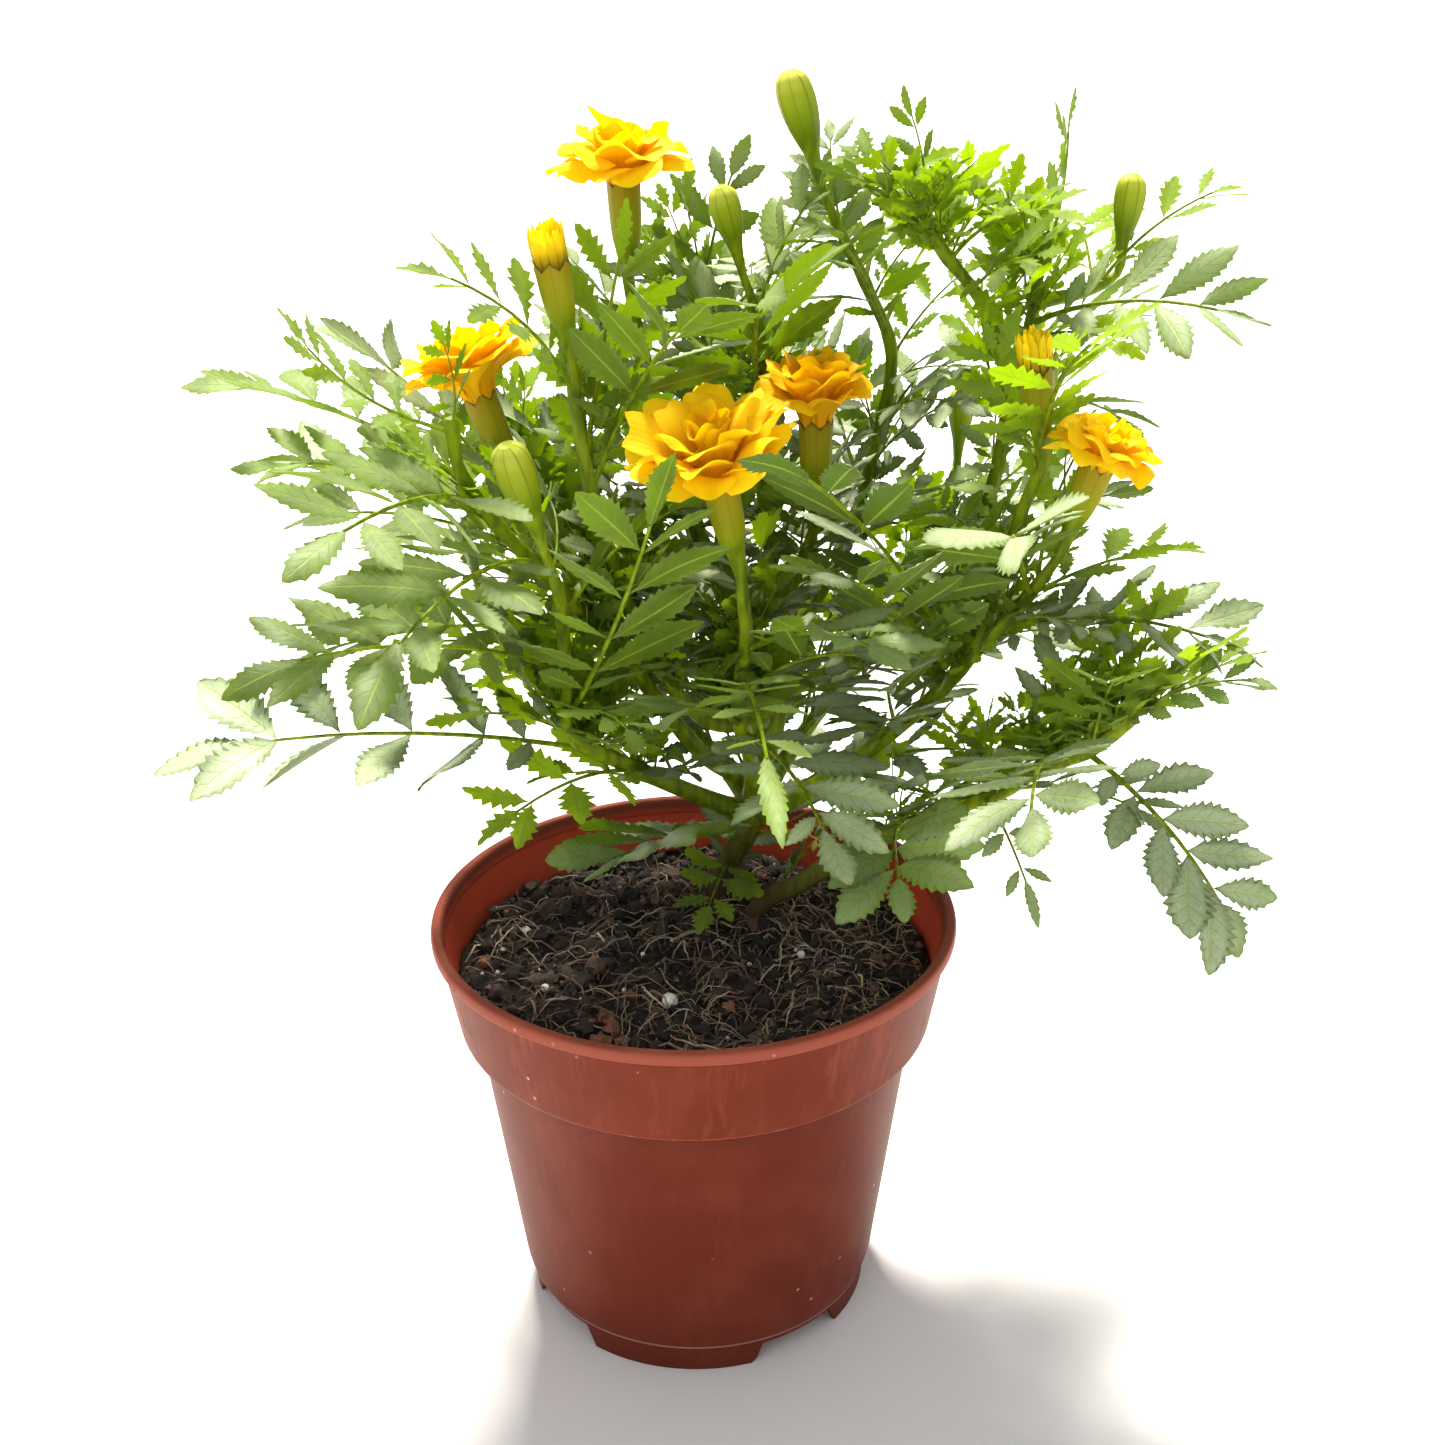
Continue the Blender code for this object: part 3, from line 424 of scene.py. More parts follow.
def stemControls(path, radii, head, shapes=heads):  # centres, radii, distances back from the head's end
    last = len(path) - 1
    centres = [alongPath(path, step) for step in range(last + 1)]
    lengths = [0.0]
    for before, after in zip(centres, centres[1:]):
        lengths.append(lengths[-1] + (after - before).length)
    total = lengths[-1]
    profile = shapes[head] if head else []
    reach = profile[-1][0] if head else 0.0
    kept = [k for k, length in enumerate(lengths) if length < total - reach - 1.0 or not head]
    points = [centres[k] for k in kept]
    sizes = [radii[0] + (radii[1] - radii[0]) * lengths[k] / total for k in kept]
    back = [total - lengths[k] for k in kept]
    end = centres[-1]
    ahead = (end - alongPath(path, last - headAim)).normalized()
    for distance, radius in reversed(profile):
        points.append(end - ahead * distance)
        sizes.append(radius)
        back.append(distance)
    return points, sizes, back


def coarseStem(path, radii, head):  # as the solid has it
    points, sizes, _ = stemControls(path, radii, head)
    sides = headSides if head else stemSides
    shell, faces = ringPoints(points, sizes, sides)
    closeEnds(faces, len(points), sides)
    return shell, faces


def leafCurve(base, tip, arch, roll):  # the leaf's rib, and the directions along, across and above it
    chord = tip - base
    along = chord / chord.length
    inward = Vector((plantAxis.x - base.x, plantAxis.y - base.y, 0))
    inward = inward.normalized() if inward.length > 1.0 else Vector((0, 0, 0))
    upward = up + inward * leafFacing
    normal = (upward - along * upward.dot(along)).normalized()
    normal.rotate(Quaternion(along, math.radians(roll)))
    bend = (base + tip) / 2 + normal * (2 * arch)

    def spine(s):
        return base * (1 - s) ** 2 + bend * (2 * s * (1 - s)) + tip * s ** 2

    def directions(s):
        ahead = ((bend - base) * (1 - s) + (tip - bend) * s).normalized()
        side = ahead.cross(normal).normalized()
        return ahead, side, side.cross(ahead)

    return spine, directions


def leafletSize(length, share):  # its reach and lean, by its share of the way from first pair to last
    swell = leafletSwell * math.sin(math.pi * (0.15 + 0.7 * share))
    lean = math.radians(leafletLean - leafletLeanDrop * share)
    return min(length * (leafletReach + swell), leafletLongest), lean


def leafletAxes(ahead, side, above, hand, lean):  # along a leaflet and across it
    outward = side * (hand * math.cos(leafletFold)) + above * math.sin(leafletFold)
    axis = ahead * math.cos(lean) + outward * math.sin(lean)
    across = outward * math.cos(lean) - ahead * math.sin(lean)
    return axis, across


def coarseLeaf(base, tip, arch, roll, pairs):  # the solid's blade, before it is thickened
    spine, directions = leafCurve(base, tip, arch, roll)
    length = (tip - base).length
    half = leafletFoot / 2 / length
    points, faces, edges = [], [], {1: [], -1: []}
    stations = [0.0]
    for number in range(pairs):
        middle = firstPair + (lastPair - firstPair) * number / (pairs - 1)
        stations += [middle - half, middle + half]
    stations.append(terminalAt)
    for s in stations:
        side = directions(s)[1]
        for hand in (1, -1):
            edges[hand].append(len(points))
            points.append(spine(s) + side * (hand * rachisWidth / 2))
    right, left = edges[1], edges[-1]
    for k in range(len(stations) - 1):
        faces += [(left[k], right[k], right[k + 1]), (left[k], right[k + 1], left[k + 1])]
    for number in range(pairs):
        k = 1 + 2 * number
        s = (stations[k] + stations[k + 1]) / 2
        ahead, side, above = directions(s)
        reach, lean = leafletSize(length, number / (pairs - 1))
        for hand in (1, -1):
            axis, across = leafletAxes(ahead, side, above, hand, lean)
            root = spine(s) + side * (hand * rachisWidth / 2)
            ring = [edges[hand][k]]
            for far, wide in leafletOutline:
                ring.append(len(points))
                sag = above * (reach * leafletSag * far * far)
                points.append(root + axis * (reach * far) + across * (reach * wide) - sag)
            ring.append(edges[hand][k + 1])
            for a, b, c in ((0, 1, 3), (0, 3, 4), (1, 2, 3)):
                face = (ring[a], ring[b], ring[c])
                faces.append(face if hand == 1 else face[::-1])
    foot = spine(terminalAt)
    wide = directions(terminalAt)[1] * ((tip - foot).length * terminalWidth)
    first = len(points)
    points += [foot.lerp(tip, 0.32) + wide, foot.lerp(tip, 0.68) + wide * 0.8,
               foot.lerp(tip, 0.48) - wide, tip]
    faces += [(left[-1], right[-1], first), (left[-1], first, first + 2),
              (first + 2, first, first + 1), (first + 2, first + 1, first + 3)]
    return points, faces


def thicken(points, faces, half):  # a closed shell, half above the sheet and half below
    normals = [Vector((0, 0, 0)) for _ in points]
    edges = set()
    for face in faces:
        a, b, c = (points[k] for k in face)
        turned = (b - a).cross(c - a)
        for k in face:
            normals[k] += turned
        edges.update((face[k], face[(k + 1) % 3]) for k in range(3))
    normals = [n.normalized() for n in normals]
    count = len(points)
    solid = [p + n * half for p, n in zip(points, normals)] + [p - n * half for p, n in zip(points, normals)]
    triangles = list(faces) + [(c + count, b + count, a + count) for a, b, c in faces]
    for a, b in edges:
        if (b, a) not in edges:
            triangles += [(a, b + count, b), (a, a + count, b + count)]
    return solid, triangles


placed = []


def keepClear(points, faces, key):  # later leaves don't cross this shape
    low = [min(p[k] for p in points) for k in range(3)]
    high = [max(p[k] for p in points) for k in range(3)]
    placed.append((key, low, high, BVHTree.FromPolygons(points, faces)))


def crosses(points, faces, ownStem):  # whether a shape cuts one that was kept clear
    low = [min(p[k] for p in points) for k in range(3)]
    high = [max(p[k] for p in points) for k in range(3)]
    tree = BVHTree.FromPolygons(points, faces)
    for key, otherLow, otherHigh, other in placed:
        if key == ownStem or any(low[k] > otherHigh[k] or high[k] < otherLow[k] for k in range(3)):
            continue
        if tree.overlap(other):
            return True
    return False


# Turns that a leaf tries until it hangs clear of its neighbours: heading and rise, in degrees
turns = [(0, 0)]
for swing in (5, 10, 15, 20, 26, 32):
    turns += [(swing, 0), (-swing, 0), (0, swing), (0, -swing), (swing, swing), (-swing, swing),
              (swing, -swing), (-swing, -swing)]


def turnedTip(base, tip, heading, rise):  # in degrees
    reach = tip - base
    flat = Vector((reach.x, reach.y, 0))
    side = Vector((-reach.y, reach.x, 0)).normalized() if flat.length > 0.1 else Vector((1, 0, 0))
    reach.rotate(Quaternion(side, math.radians(-rise)))
    reach.rotate(Quaternion(up, math.radians(heading)))
    return base + reach


def placeLeaf(key, base, tip, arch, roll, pairs, stemKey, tries=turns, margin=bladeMargin):  # its new tip
    for heading, rise in tries:
        end = turnedTip(base, tip, heading, rise)
        points, faces = coarseLeaf(base, end, arch, roll, pairs)
        if max(abs(p.x) for p in points) > reachSideways or max(abs(p.y) for p in points) > reachFore:
            continue
        wide, wideFaces = thicken(points, faces, bladeThick / 2 + margin)
        if min(p.z for p in wide) < soilTop + leafOverSoil or crosses(wide, wideFaces, stemKey):
            continue
        keepClear(*thicken(points, faces, bladeThick / 2), key)
        return end
    return None


def headSeat(node, twig):  # where a bloom stands on its stem, and which way it looks
    data = plant[node]
    path = vectors(data["path"] if twig is None else data["twigs"][twig][0])
    end = path[-1]
    ahead = (end - alongPath(path, len(path) - 1 - headAim)).normalized()
    return end + ahead * gap, ahead


def seated(path, radii, head):  # the path, with its foot just clear of the stems before it
    away = (path[1] - path[0]).normalized()
    for step in range(seatTries):
        moved = list(path)
        moved[0] = path[0] + away * (step * seatStep - seatStart)
        if not crosses(*coarseStem(moved, radii, head), None):
            moved[0] += away * (gap - seatStep)
            return moved
    return path


# Coarse blooms only keep the leaves out of their space

petalLayers = [(2.6, 1.00, 0.10), (5.4, 0.80, 0.38), (8.2, 0.52, 0.52)]
petalOutline = [(0.50, -0.88, 0.3), (0.97, -0.74, 1.0), (0.97, 0.74, 1.0), (0.50, 0.88, 0.3)]
petalsRound, petalHub = 7, 2.6
tuftReach, tuftRadii, tuftSides = 10.0, [4.4, 4.6], 8


def coarseBloom(foot, ahead, radius, number):  # as the solid has it
    waver = random.Random(number)
    start = waver.uniform(0, 2)
    points, faces = [], []
    for low, reachShare, riseShare in petalLayers:
        reach, rise = radius * reachShare, radius * riseShare
        layer, sheet = [], []
        for step in range(petalsRound):
            angle = start + 2 * math.pi * (step - 0.5) / petalsRound
            layer.append(Vector((petalHub * math.cos(angle), petalHub * math.sin(angle), low)))
        for step in range(petalsRound):
            angle = start + 2 * math.pi * step / petalsRound
            tilt = waver.uniform(-0.10, 0.10) * reach
            size = reach * waver.uniform(0.90, 1.0)
            ring = [step]
            for far, turn, lift in petalOutline:
                out = petalHub + (size - petalHub) * far
                around = angle + math.pi / petalsRound * turn
                height = low + (rise + tilt) * lift
                ring.append(len(layer))
                layer.append(Vector((out * math.cos(around), out * math.sin(around), height)))
            ring.append((step + 1) % petalsRound)
            sheet += [(ring[0], ring[1], ring[4]), (ring[0], ring[4], ring[5]),
                      (ring[1], ring[2], ring[3]), (ring[1], ring[3], ring[4])]
        solid, triangles = thicken(layer, sheet, bladeThick / 2)
        first = len(points)
        points += solid
        faces += [tuple(first + k for k in face) for face in triangles]
    turn = up.rotation_difference(ahead)
    return [foot + turn @ p for p in points], faces


# All is placed in the solids' order: stems first, then blooms, then leaves
stems, branches = {}, []
for node, data in plant.items():
    stemPath = vectors(data["path"])
    if node not in rootedStems:
        stemPath = seated(stemPath, data["radii"], data["head"])
    grown = [(node, stemPath, data["radii"], data["head"], data["leaves"])]
    for number, (twigPath, radii, head, leaves) in enumerate(data["twigs"]):
        grown.append((f"{node}_twig_{number}", vectors(twigPath), radii, head, leaves))
    for key, path, radii, head, leaves in grown:
        keepClear(*coarseStem(path, radii, head), key)
        branches.append((node, key, path, leaves))
    stems[node] = grown
for name, (node, twig, radius, number) in blooms.items():
    keepClear(*coarseBloom(*headSeat(node, twig), radius, number), name)
for name, (node, twig) in halfOpenBuds.items():
    foot, ahead = headSeat(node, twig)
    shell, faces = ringPoints([foot, foot + ahead * tuftReach], tuftRadii, tuftSides)
    keepClear(shell, faces, name)

hung = {node: [] for node in plant}  # leaves of each node: foot, tip, arch, roll, pairs
for node, stemKey, path, leaves in branches:
    for number, (place, tip, arch, roll, pairs) in enumerate(leaves):
        foot = alongPath(path, place)
        end = placeLeaf(f"{stemKey}_leaf_{number}", foot, Vector(tip), arch, roll, pairs, stemKey)
        if end:
            hung[node].append((foot, end, arch, roll, pairs))
place, offset, tip, arch, roll, pairs = yellowLeaf
yellowFoot = alongPath(stems["main_stem"][0][1], place) + Vector(offset)
yellowEnd = placeLeaf("yellow_leaf", yellowFoot, Vector(tip), arch, roll, pairs, None)
print("leaves hung:", sum(len(leaves) for leaves in hung.values()))


# Materials

# The darkest green serves blots, veins and painted shade; the palest is part waxy bloom, part painted
# sunlight
leafLook = {
    "old": "#48641E", "young": "#90AA0A", "dark": "#222E0E", "vein": "#B8C84E", "waxAndSunSheen": "#C2D1A8",
    "under": "#5E7814", "oldThrough": "#80A000", "youngThrough": "#D6EC00",
    "veinPairs": 6.5, "veinLean": 1.5, "ribWidth": 0.09, "veinWidth": 0.10,
    "mottle": 9.0, "stipple": 0.7, "oldShare": 0.24, "youngShare": 0.60,
}


def leafMaterial(name, look):
    # Living leaf: a waxy skin over wet green tissue, with sheen where light grazes it and a lime glow where
    # it is lit from behind
    material, tree, shader = newMaterial(name, 0.46, 1.42, Sheen_Weight=0.12, Sheen_Roughness=0.45)
    axes = bladeAxes(tree)
    tone = toneParts(tree)
    place = objectPlace(tree)
    # Veins: a midrib, and side veins that slant off it and fade at the edge
    fromRib = calc(tree, "MULTIPLY", calc(tree, "ABSOLUTE", calc(tree, "SUBTRACT", axes["X"], 0.5)), 2.0)
    rib = mapRange(tree, fromRib, look["ribWidth"], 0.02)
    slanted = calc(tree, "SUBTRACT", calc(tree, "MULTIPLY", axes["Y"], look["veinPairs"]),
                   calc(tree, "MULTIPLY", fromRib, look["veinLean"]))
    toVein = calc(tree, "PINGPONG", slanted, 0.5)
    sideVein = calc(tree, "MULTIPLY", mapRange(tree, toVein, look["veinWidth"], 0.0),
                    mapRange(tree, fromRib, 1.0, 0.3))
    veins = calc(tree, "MAXIMUM", rib, calc(tree, "MULTIPLY", sideVein, 0.55))
    # Green goes by the leaf's youth (Y), and darkens in blots and with X, which is a random share plus
    # painted shade
    mottle = speckle(tree, place, look["mottle"])
    stipple = speckle(tree, place, look["stipple"], 2.0)
    green = blendColours(tree, tone["Y"], look["old"], look["young"])
    tintAndPaintedShade = mapRange(tree, calc(tree, "ADD", mottle, calc(tree, "MULTIPLY", tone["X"], 0.35)), 0.45, 0.85)
    green = lay(tree, look["dark"], tintAndPaintedShade, 0.8, green)
    # The pale colour on upper faces (Z is 0 there) is part waxy bloom, part painted sunlight. It lies mostly
    # on old and outer leaves that look upwards, and thins in painted shade
    upwards = split(tree, "ShaderNodeNewGeometry", None, "Normal")["Z"]
    waxAndPaintedSun = calc(tree, "MULTIPLY", mapRange(tree, stipple, 0.30, 0.70, 0.78, 1.0),
                   calc(tree, "SUBTRACT", 1.0, tone["Z"]))
    thinned = [(upwards, -0.25, 0.70, 0.15, 0.95), (tone["Y"], 0.1, 0.9, 1.0, 0.22),
               (tone["X"], 0.35, 1.0, 1.0, 0.3)]
    for value, low, high, atLow, atHigh in thinned:
        waxAndPaintedSun = calc(tree, "MULTIPLY", waxAndPaintedSun, mapRange(tree, value, low, high, atLow, atHigh))
    green = blendColours(tree, waxAndPaintedSun, green, look["waxAndSunSheen"])
    green = lay(tree, look["old"], sideVein, 0.30, green)
    green = lay(tree, look["under"], tone["Z"], 0.6, green)
    green = lay(tree, look["vein"], rib, 0.55, green)
    tree.links.new(green, shader.inputs["Base Color"])
    passing = blendColours(tree, tone["Y"], look["oldThrough"], look["youngThrough"])
    passing = lay(tree, look["dark"], veins, 0.35, passing)
    height = calc(tree, "SUBTRACT", calc(tree, "MULTIPLY", stipple, 0.15), veins)
    roughen(tree, shader, height, 0.35, 0.2)
    tree.links.new(mapRange(tree, tone["Y"], 0.0, 0.8, 0.45, 0.14), shader.inputs["Specular IOR Level"])
    share = mapRange(tree, tone["Y"], 0.0, 1.0, look["oldShare"], look["youngShare"])
    throughLight(tree, shader, passing, share)
    return material


calyxLook = {
    "ribs": 8, "ribDepth": 0.025, "budDepth": 0.055, "teeth": 6, "toothRise": 2.4, "rimBack": 1.4,
    "collar": 0.45, "collarReach": 5.0, "sides": 24, "stemSides": 12,
    "cupFrom": {"calyx": 18.0, "slim_calyx": 15.5, "bud": 19.0, "small_bud": 15.0},
}
stemLook = {
    "green": "#84980E", "shadow": "#5C6E0A", "wood": "#5F4A38", "through": "#A8BC00", "rim": "#4E3F14",
    "cup": [(0.0, "#8A9A08"), (0.45, "#9A960C"), (0.90, "#A08C06")],
    "bud": [(0.0, "#5C760A"), (0.35, "#82960E"), (0.70, "#A2AE20"), (0.95, "#CCD050")],
}


def stemMaterial(look):
    # Stem skin: smooth wet green with fine streaks, brown and corky at the foot, ribbed on cups and buds. Its
    # tone tells buds from cups (X), how brown it is (Y) and how much of a head it is (Z)
    material, tree, shader = newMaterial("StemSkin", 0.48, 1.42, Specular_IOR_Level=0.25)
    tone = toneParts(tree)
    axes = bladeAxes(tree)
    place = objectPlace(tree)
    streak = speckle(tree, place, 2.2, 3.0, 0.5, (1, 1, 0.15))
    green = blendColours(tree, mapRange(tree, streak, 0.35, 0.65), look["shadow"], look["green"])
    green = blendColours(tree, tone["Y"], green, look["wood"])
    wave = calc(tree, "SINE", calc(tree, "MULTIPLY", axes["X"], calyxLook["ribs"] * math.pi))
    ribs = calc(tree, "ABSOLUTE", wave)
    cup = add(tree, "ShaderNodeValToRGB", {"stops": look["cup"]}, {"Fac": axes["Y"]}).outputs["Color"]
    cup = blendColours(tree, mapRange(tree, ribs, 0.35, 0.0, 0.0, 0.25), cup, look["rim"])
    cup = blendColours(tree, mapRange(tree, axes["Y"], 0.92, 0.99, 0.0, 0.85), cup, look["rim"])
    bud = add(tree, "ShaderNodeValToRGB", {"stops": look["bud"]}, {"Fac": axes["Y"]}).outputs["Color"]
    bud = blendColours(tree, mapRange(tree, ribs, 0.45, 0.0, 0.0, 0.6), bud, look["shadow"])
    head = blendColours(tree, tone["X"], cup, bud)
    skin = blendColours(tree, tone["Z"], green, head)
    tree.links.new(skin, shader.inputs["Base Color"])
    roughen(tree, shader, speckle(tree, place, 0.9, 2.0), 0.35, 0.2)
    throughLight(tree, shader, blendColours(tree, tone["Y"], look["through"], look["wood"]), 0.22)
    return material


petalLook = {
    "golden": {"foot": "#FFD208", "middle": "#FFE20A", "edge": "#FFE810", "through": "#FFE800"},
    "deep": {"foot": "#FFCE08", "middle": "#FFDA08", "edge": "#FFE20C", "through": "#FFE000"},
    "yellow": {"foot": "#94820A", "middle": "#FAE010", "edge": "#FEEC20", "through": "#FFEE08"},
}


def petalMaterial(name, look):
    # Ray floret: velvety, finely ridged along its length, deeper gold at its foot
    material, tree, shader = newMaterial(name, 0.60, 1.40, Sheen_Weight=0.05, Specular_IOR_Level=0.25)
    axes = bladeAxes(tree)
    tone = toneParts(tree)
    colour = add(tree, "ShaderNodeValToRGB",
                 {"stops": [(0.12, look["foot"]), (0.45, look["middle"]), (1.0, look["edge"])]},
                 {"Fac": axes["Y"]}).outputs["Color"]
    cloud = speckle(tree, objectPlace(tree), 5.0)
    clouded = mapRange(tree, calc(tree, "ADD", cloud, tone["X"]), 0.7, 1.3)
    colour = lay(tree, look["foot"], clouded, 0.22, colour)
    tree.links.new(colour, shader.inputs["Base Color"])
    ridges = calc(tree, "SINE", calc(tree, "MULTIPLY", axes["X"], 70.0))
    roughen(tree, shader, ridges, 0.25, 0.08)
    passing = blendColours(tree, 0.5, colour, look["through"])
    throughLight(tree, shader, passing, 0.53)
    return material


def witheredMaterial():
    # Dying leaf: the green has gone and dry yellow is left, with brown at the tips
    material, tree, shader = newMaterial("WitheredLeaf", 0.7)
    axes = bladeAxes(tree)
    cloud = speckle(tree, objectPlace(tree), 6.0)
    dry = blendColours(tree, mapRange(tree, cloud, 0.35, 0.65), "#C9B24A", "#A89A3C")
    dry = blendColours(tree, mapRange(tree, axes["Y"], 0.75, 1.0), dry, "#8A5A26")
    tree.links.new(dry, shader.inputs["Base Color"])
    roughen(tree, shader, cloud, 0.5, 0.4)
    throughLight(tree, shader, dry, 0.35)
    return material


# Of these colours, the bright inside red is painted light, the pale one serves scuffs and painted highlights,
# the darkest one dirt and painted shade
potLook = {
    "body": "#64281A", "collar": "#6A2B1B", "streak": "#96503E", "rim": "#8E4838", "inside": "#D2543C",
    "scuffAndHighlight": "#C09686", "dirtAndShade": "#42241B",
    "ledgeAt": 92.6, "grooveAt": 119.3, "footAt": 9.4,
}


def lineAt(tree, height, at, width, strength=1.0):  # a thin level line round the pot; all in mm
    away = calc(tree, "ABSOLUTE", calc(tree, "SUBTRACT", height, at))
    return mapRange(tree, away, width, 0.2, 0.0, strength)


def potMaterial(look):
    # Moulded polypropylene: satin, a little faded, with dried water streaks on its collar and small scuffs
    material, tree, shader = newMaterial("TerracottaPolypropylene", 0.55, 1.49, Specular_IOR_Level=0.08)
    place = objectPlace(tree)
    axes = add(tree, "ShaderNodeSeparateXYZ", None, {"Vector": place}).outputs
    height = calc(tree, "MULTIPLY", axes["Z"], 1 / mm)
    streak = speckle(tree, place, 2.6, 4.0, 0.6, (1, 1, 0.03))
    broad = speckle(tree, place, 16.0, 2.0, 0.5, (1, 1, 0.04))
    # Heights are in mm over the floor. Water has dried in streaks, most of them on the collar's sides
    onCollar = mapRange(tree, height, 90.5, 93.0)
    colour = blendColours(tree, onCollar, look["body"], look["collar"])
    water = calc(tree, "MULTIPLY", mapRange(tree, streak, 0.46, 0.68), mapRange(tree, broad, 0.36, 0.66))
    water = calc(tree, "MULTIPLY", water, mapRange(tree, onCollar, 0.0, 1.0, 0.16, 0.72))
    sideways = calc(tree, "ABSOLUTE", calc(tree, "MULTIPLY", axes["X"], 1 / mm))
    water = calc(tree, "MULTIPLY", water, mapRange(tree, sideways, 20.0, 62.0, 0.45, 1.25))
    colour = blendColours(tree, water, colour, look["streak"])
    drip = mapRange(tree, speckle(tree, place, 1.9, 3.0, 0.6, (1, 1, 0.03)), 0.50, 0.62)
    atSides = calc(tree, "MULTIPLY", onCollar, mapRange(tree, sideways, 34.0, 68.0, 0.0, 0.55))
    colour = lay(tree, look["dirtAndShade"], drip, atSides, colour)
    colour = blendColours(tree, mapRange(tree, height, 119.6, 120.6), colour, look["rim"])
    # Painted light: the inside wall near the top, where it looks towards the pot's axis, is painted a
    # brighter red
    wall = add(tree, "ShaderNodeNewGeometry").outputs["Normal"]
    outwards = add(tree, "ShaderNodeVectorMath", {"operation": "DOT_PRODUCT"}, {0: wall, 1: place})
    paintedGlowInside = calc(tree, "MULTIPLY", mapRange(tree, outwards.outputs["Value"], 0.0, -0.02),
                  mapRange(tree, height, 122.0, 119.0))
    colour = blendColours(tree, paintedGlowInside, colour, look["inside"])
    cloud = speckle(tree, place, 24.0, 3.0)
    colour = blendColours(tree, mapRange(tree, cloud, 0.4, 0.8, 0.0, 0.25), colour, look["rim"])
    # Marks: scuffed specks, a painted highlight along the ledge, painted shade under the collar and in the
    # rim's groove, a painted highlight line at the foot
    spots = add(tree, "ShaderNodeTexVoronoi", {"Scale": 110.0, "Randomness": 1.0}, {"Vector": place})
    spot = calc(tree, "MULTIPLY", mapRange(tree, spots.outputs["Distance"], 0.075, 0.045),
                mapRange(tree, speckle(tree, place, 30.0), 0.52, 0.60))
    colour = lay(tree, look["scuffAndHighlight"], spot, 0.8, colour)
    # Painted highlight: a pale line along the ledge, broken in places
    ledge = calc(tree, "MULTIPLY", lineAt(tree, height, look["ledgeAt"], 0.9),
                 mapRange(tree, speckle(tree, place, 5.0), 0.50, 0.62))
    colour = lay(tree, look["scuffAndHighlight"], ledge, 0.35, colour)
    # Painted shade: darker under the collar's step, and a dark line in the groove under the rim
    shadowUnderCollar = calc(tree, "MULTIPLY", mapRange(tree, height, 82.0, 91.0),
                       mapRange(tree, height, 92.4, 91.6))
    paintedShadeBelowRims = calc(tree, "MAXIMUM", shadowUnderCollar, lineAt(tree, height, look["grooveAt"], 0.7))
    colour = lay(tree, look["dirtAndShade"], paintedShadeBelowRims, 0.38, colour)
    # Painted highlight: a pale line round the foot
    colour = blendColours(tree, lineAt(tree, height, look["footAt"], 0.6, 0.45), colour, look["scuffAndHighlight"])
    # Darker towards the foot, with a wavy upper edge
    darkerTowardsFoot = mapRange(tree, calc(tree, "ADD", height, calc(tree, "MULTIPLY", broad, 14.0)), 22.0, 8.0)
    colour = lay(tree, look["dirtAndShade"], darkerTowardsFoot, 0.15, colour)
    tree.links.new(colour, shader.inputs["Base Color"])
    gloss = mapRange(tree, water, 0.0, 0.7, 0.50, 0.70)
    tree.links.new(gloss, shader.inputs["Roughness"])
    roughen(tree, shader, speckle(tree, place, 1.2, 3.0), 0.12, 0.15)
    return material


soilLook = {"dark": "#1D1817", "brown": "#3E342E", "red": "#6A4436", "dry": "#82746A"}


def peatMaterial(look):
    # Damp peat: nearly black crumbs with brown coir dust, no gloss but for wet glints
    material, tree, shader = newMaterial("DampPeat", 0.85, 1.38)
    place = objectPlace(tree)
    coarse = speckle(tree, place, 6.0, 6.0, 0.75)
    fine = speckle(tree, place, 0.9, 4.0, 0.7)
    colour = blendColours(tree, mapRange(tree, coarse, 0.42, 0.62), look["dark"], look["brown"])
    colour = blendColours(tree, mapRange(tree, fine, 0.58, 0.72, 0.0, 0.6), colour, look["red"])
    dust = mapRange(tree, speckle(tree, place, 18.0), 0.58, 0.72, 0.0, 0.4)
    colour = blendColours(tree, dust, colour, look["dry"])
    tree.links.new(colour, shader.inputs["Base Color"])
    roughen(tree, shader, calc(tree, "ADD", fine, speckle(tree, place, 0.5, 2.0)), 1.0, 1.2)
    return material


def grainMaterial(name, colours, roughness, size):
    # Grit, fibres and crumbs: each piece takes its own shade from its tone
    material, tree, shader = newMaterial(name, roughness)
    tone = toneParts(tree)
    cloud = speckle(tree, objectPlace(tree), size)
    stops = [(k / (len(colours) - 1), colour) for k, colour in enumerate(colours)]
    colour = add(tree, "ShaderNodeValToRGB", {"stops": stops}, {"Fac": tone["X"]}).outputs["Color"]
    grain = mapRange(tree, cloud, 0.3, 0.7, 0.7, 1.2)
    shading = add(tree, "ShaderNodeCombineXYZ", None, {"X": grain, "Y": grain, "Z": grain}).outputs[0]
    colour = blendColours(tree, 1.0, colour, shading, "MULTIPLY")
    tree.links.new(colour, shader.inputs["Base Color"])
    roughen(tree, shader, cloud, 0.4, 0.3)
    return material


leafSkin = leafMaterial("MarigoldLeaf", leafLook)
stemSkin = stemMaterial(stemLook)
petalSkins = {name: petalMaterial("Petal" + name.capitalize(), look) for name, look in petalLook.items()}
witheredSkin = witheredMaterial()
potPlastic = potMaterial(potLook)
peat = peatMaterial(soilLook)
crumbs = grainMaterial("PeatCrumbs", ["#1E1917", "#2E2622", "#443830", "#60493C", "#8C5C46"], 0.85, 1.0)
fibres = grainMaterial("RootFibres", ["#5A473A", "#7E6856", "#A18C78", "#C6B49C"], 0.8, 2.0)
perlite = grainMaterial("Perlite", ["#C9C6BE", "#E4E2DC", "#F2F1EC"], 0.8, 0.8)
print("materials made")


# Blade shapes: flat patterns of shares along and across, bent into place for each leaflet or petal

def flipped(face, top):
    return face if top == 1 else face[::-1]


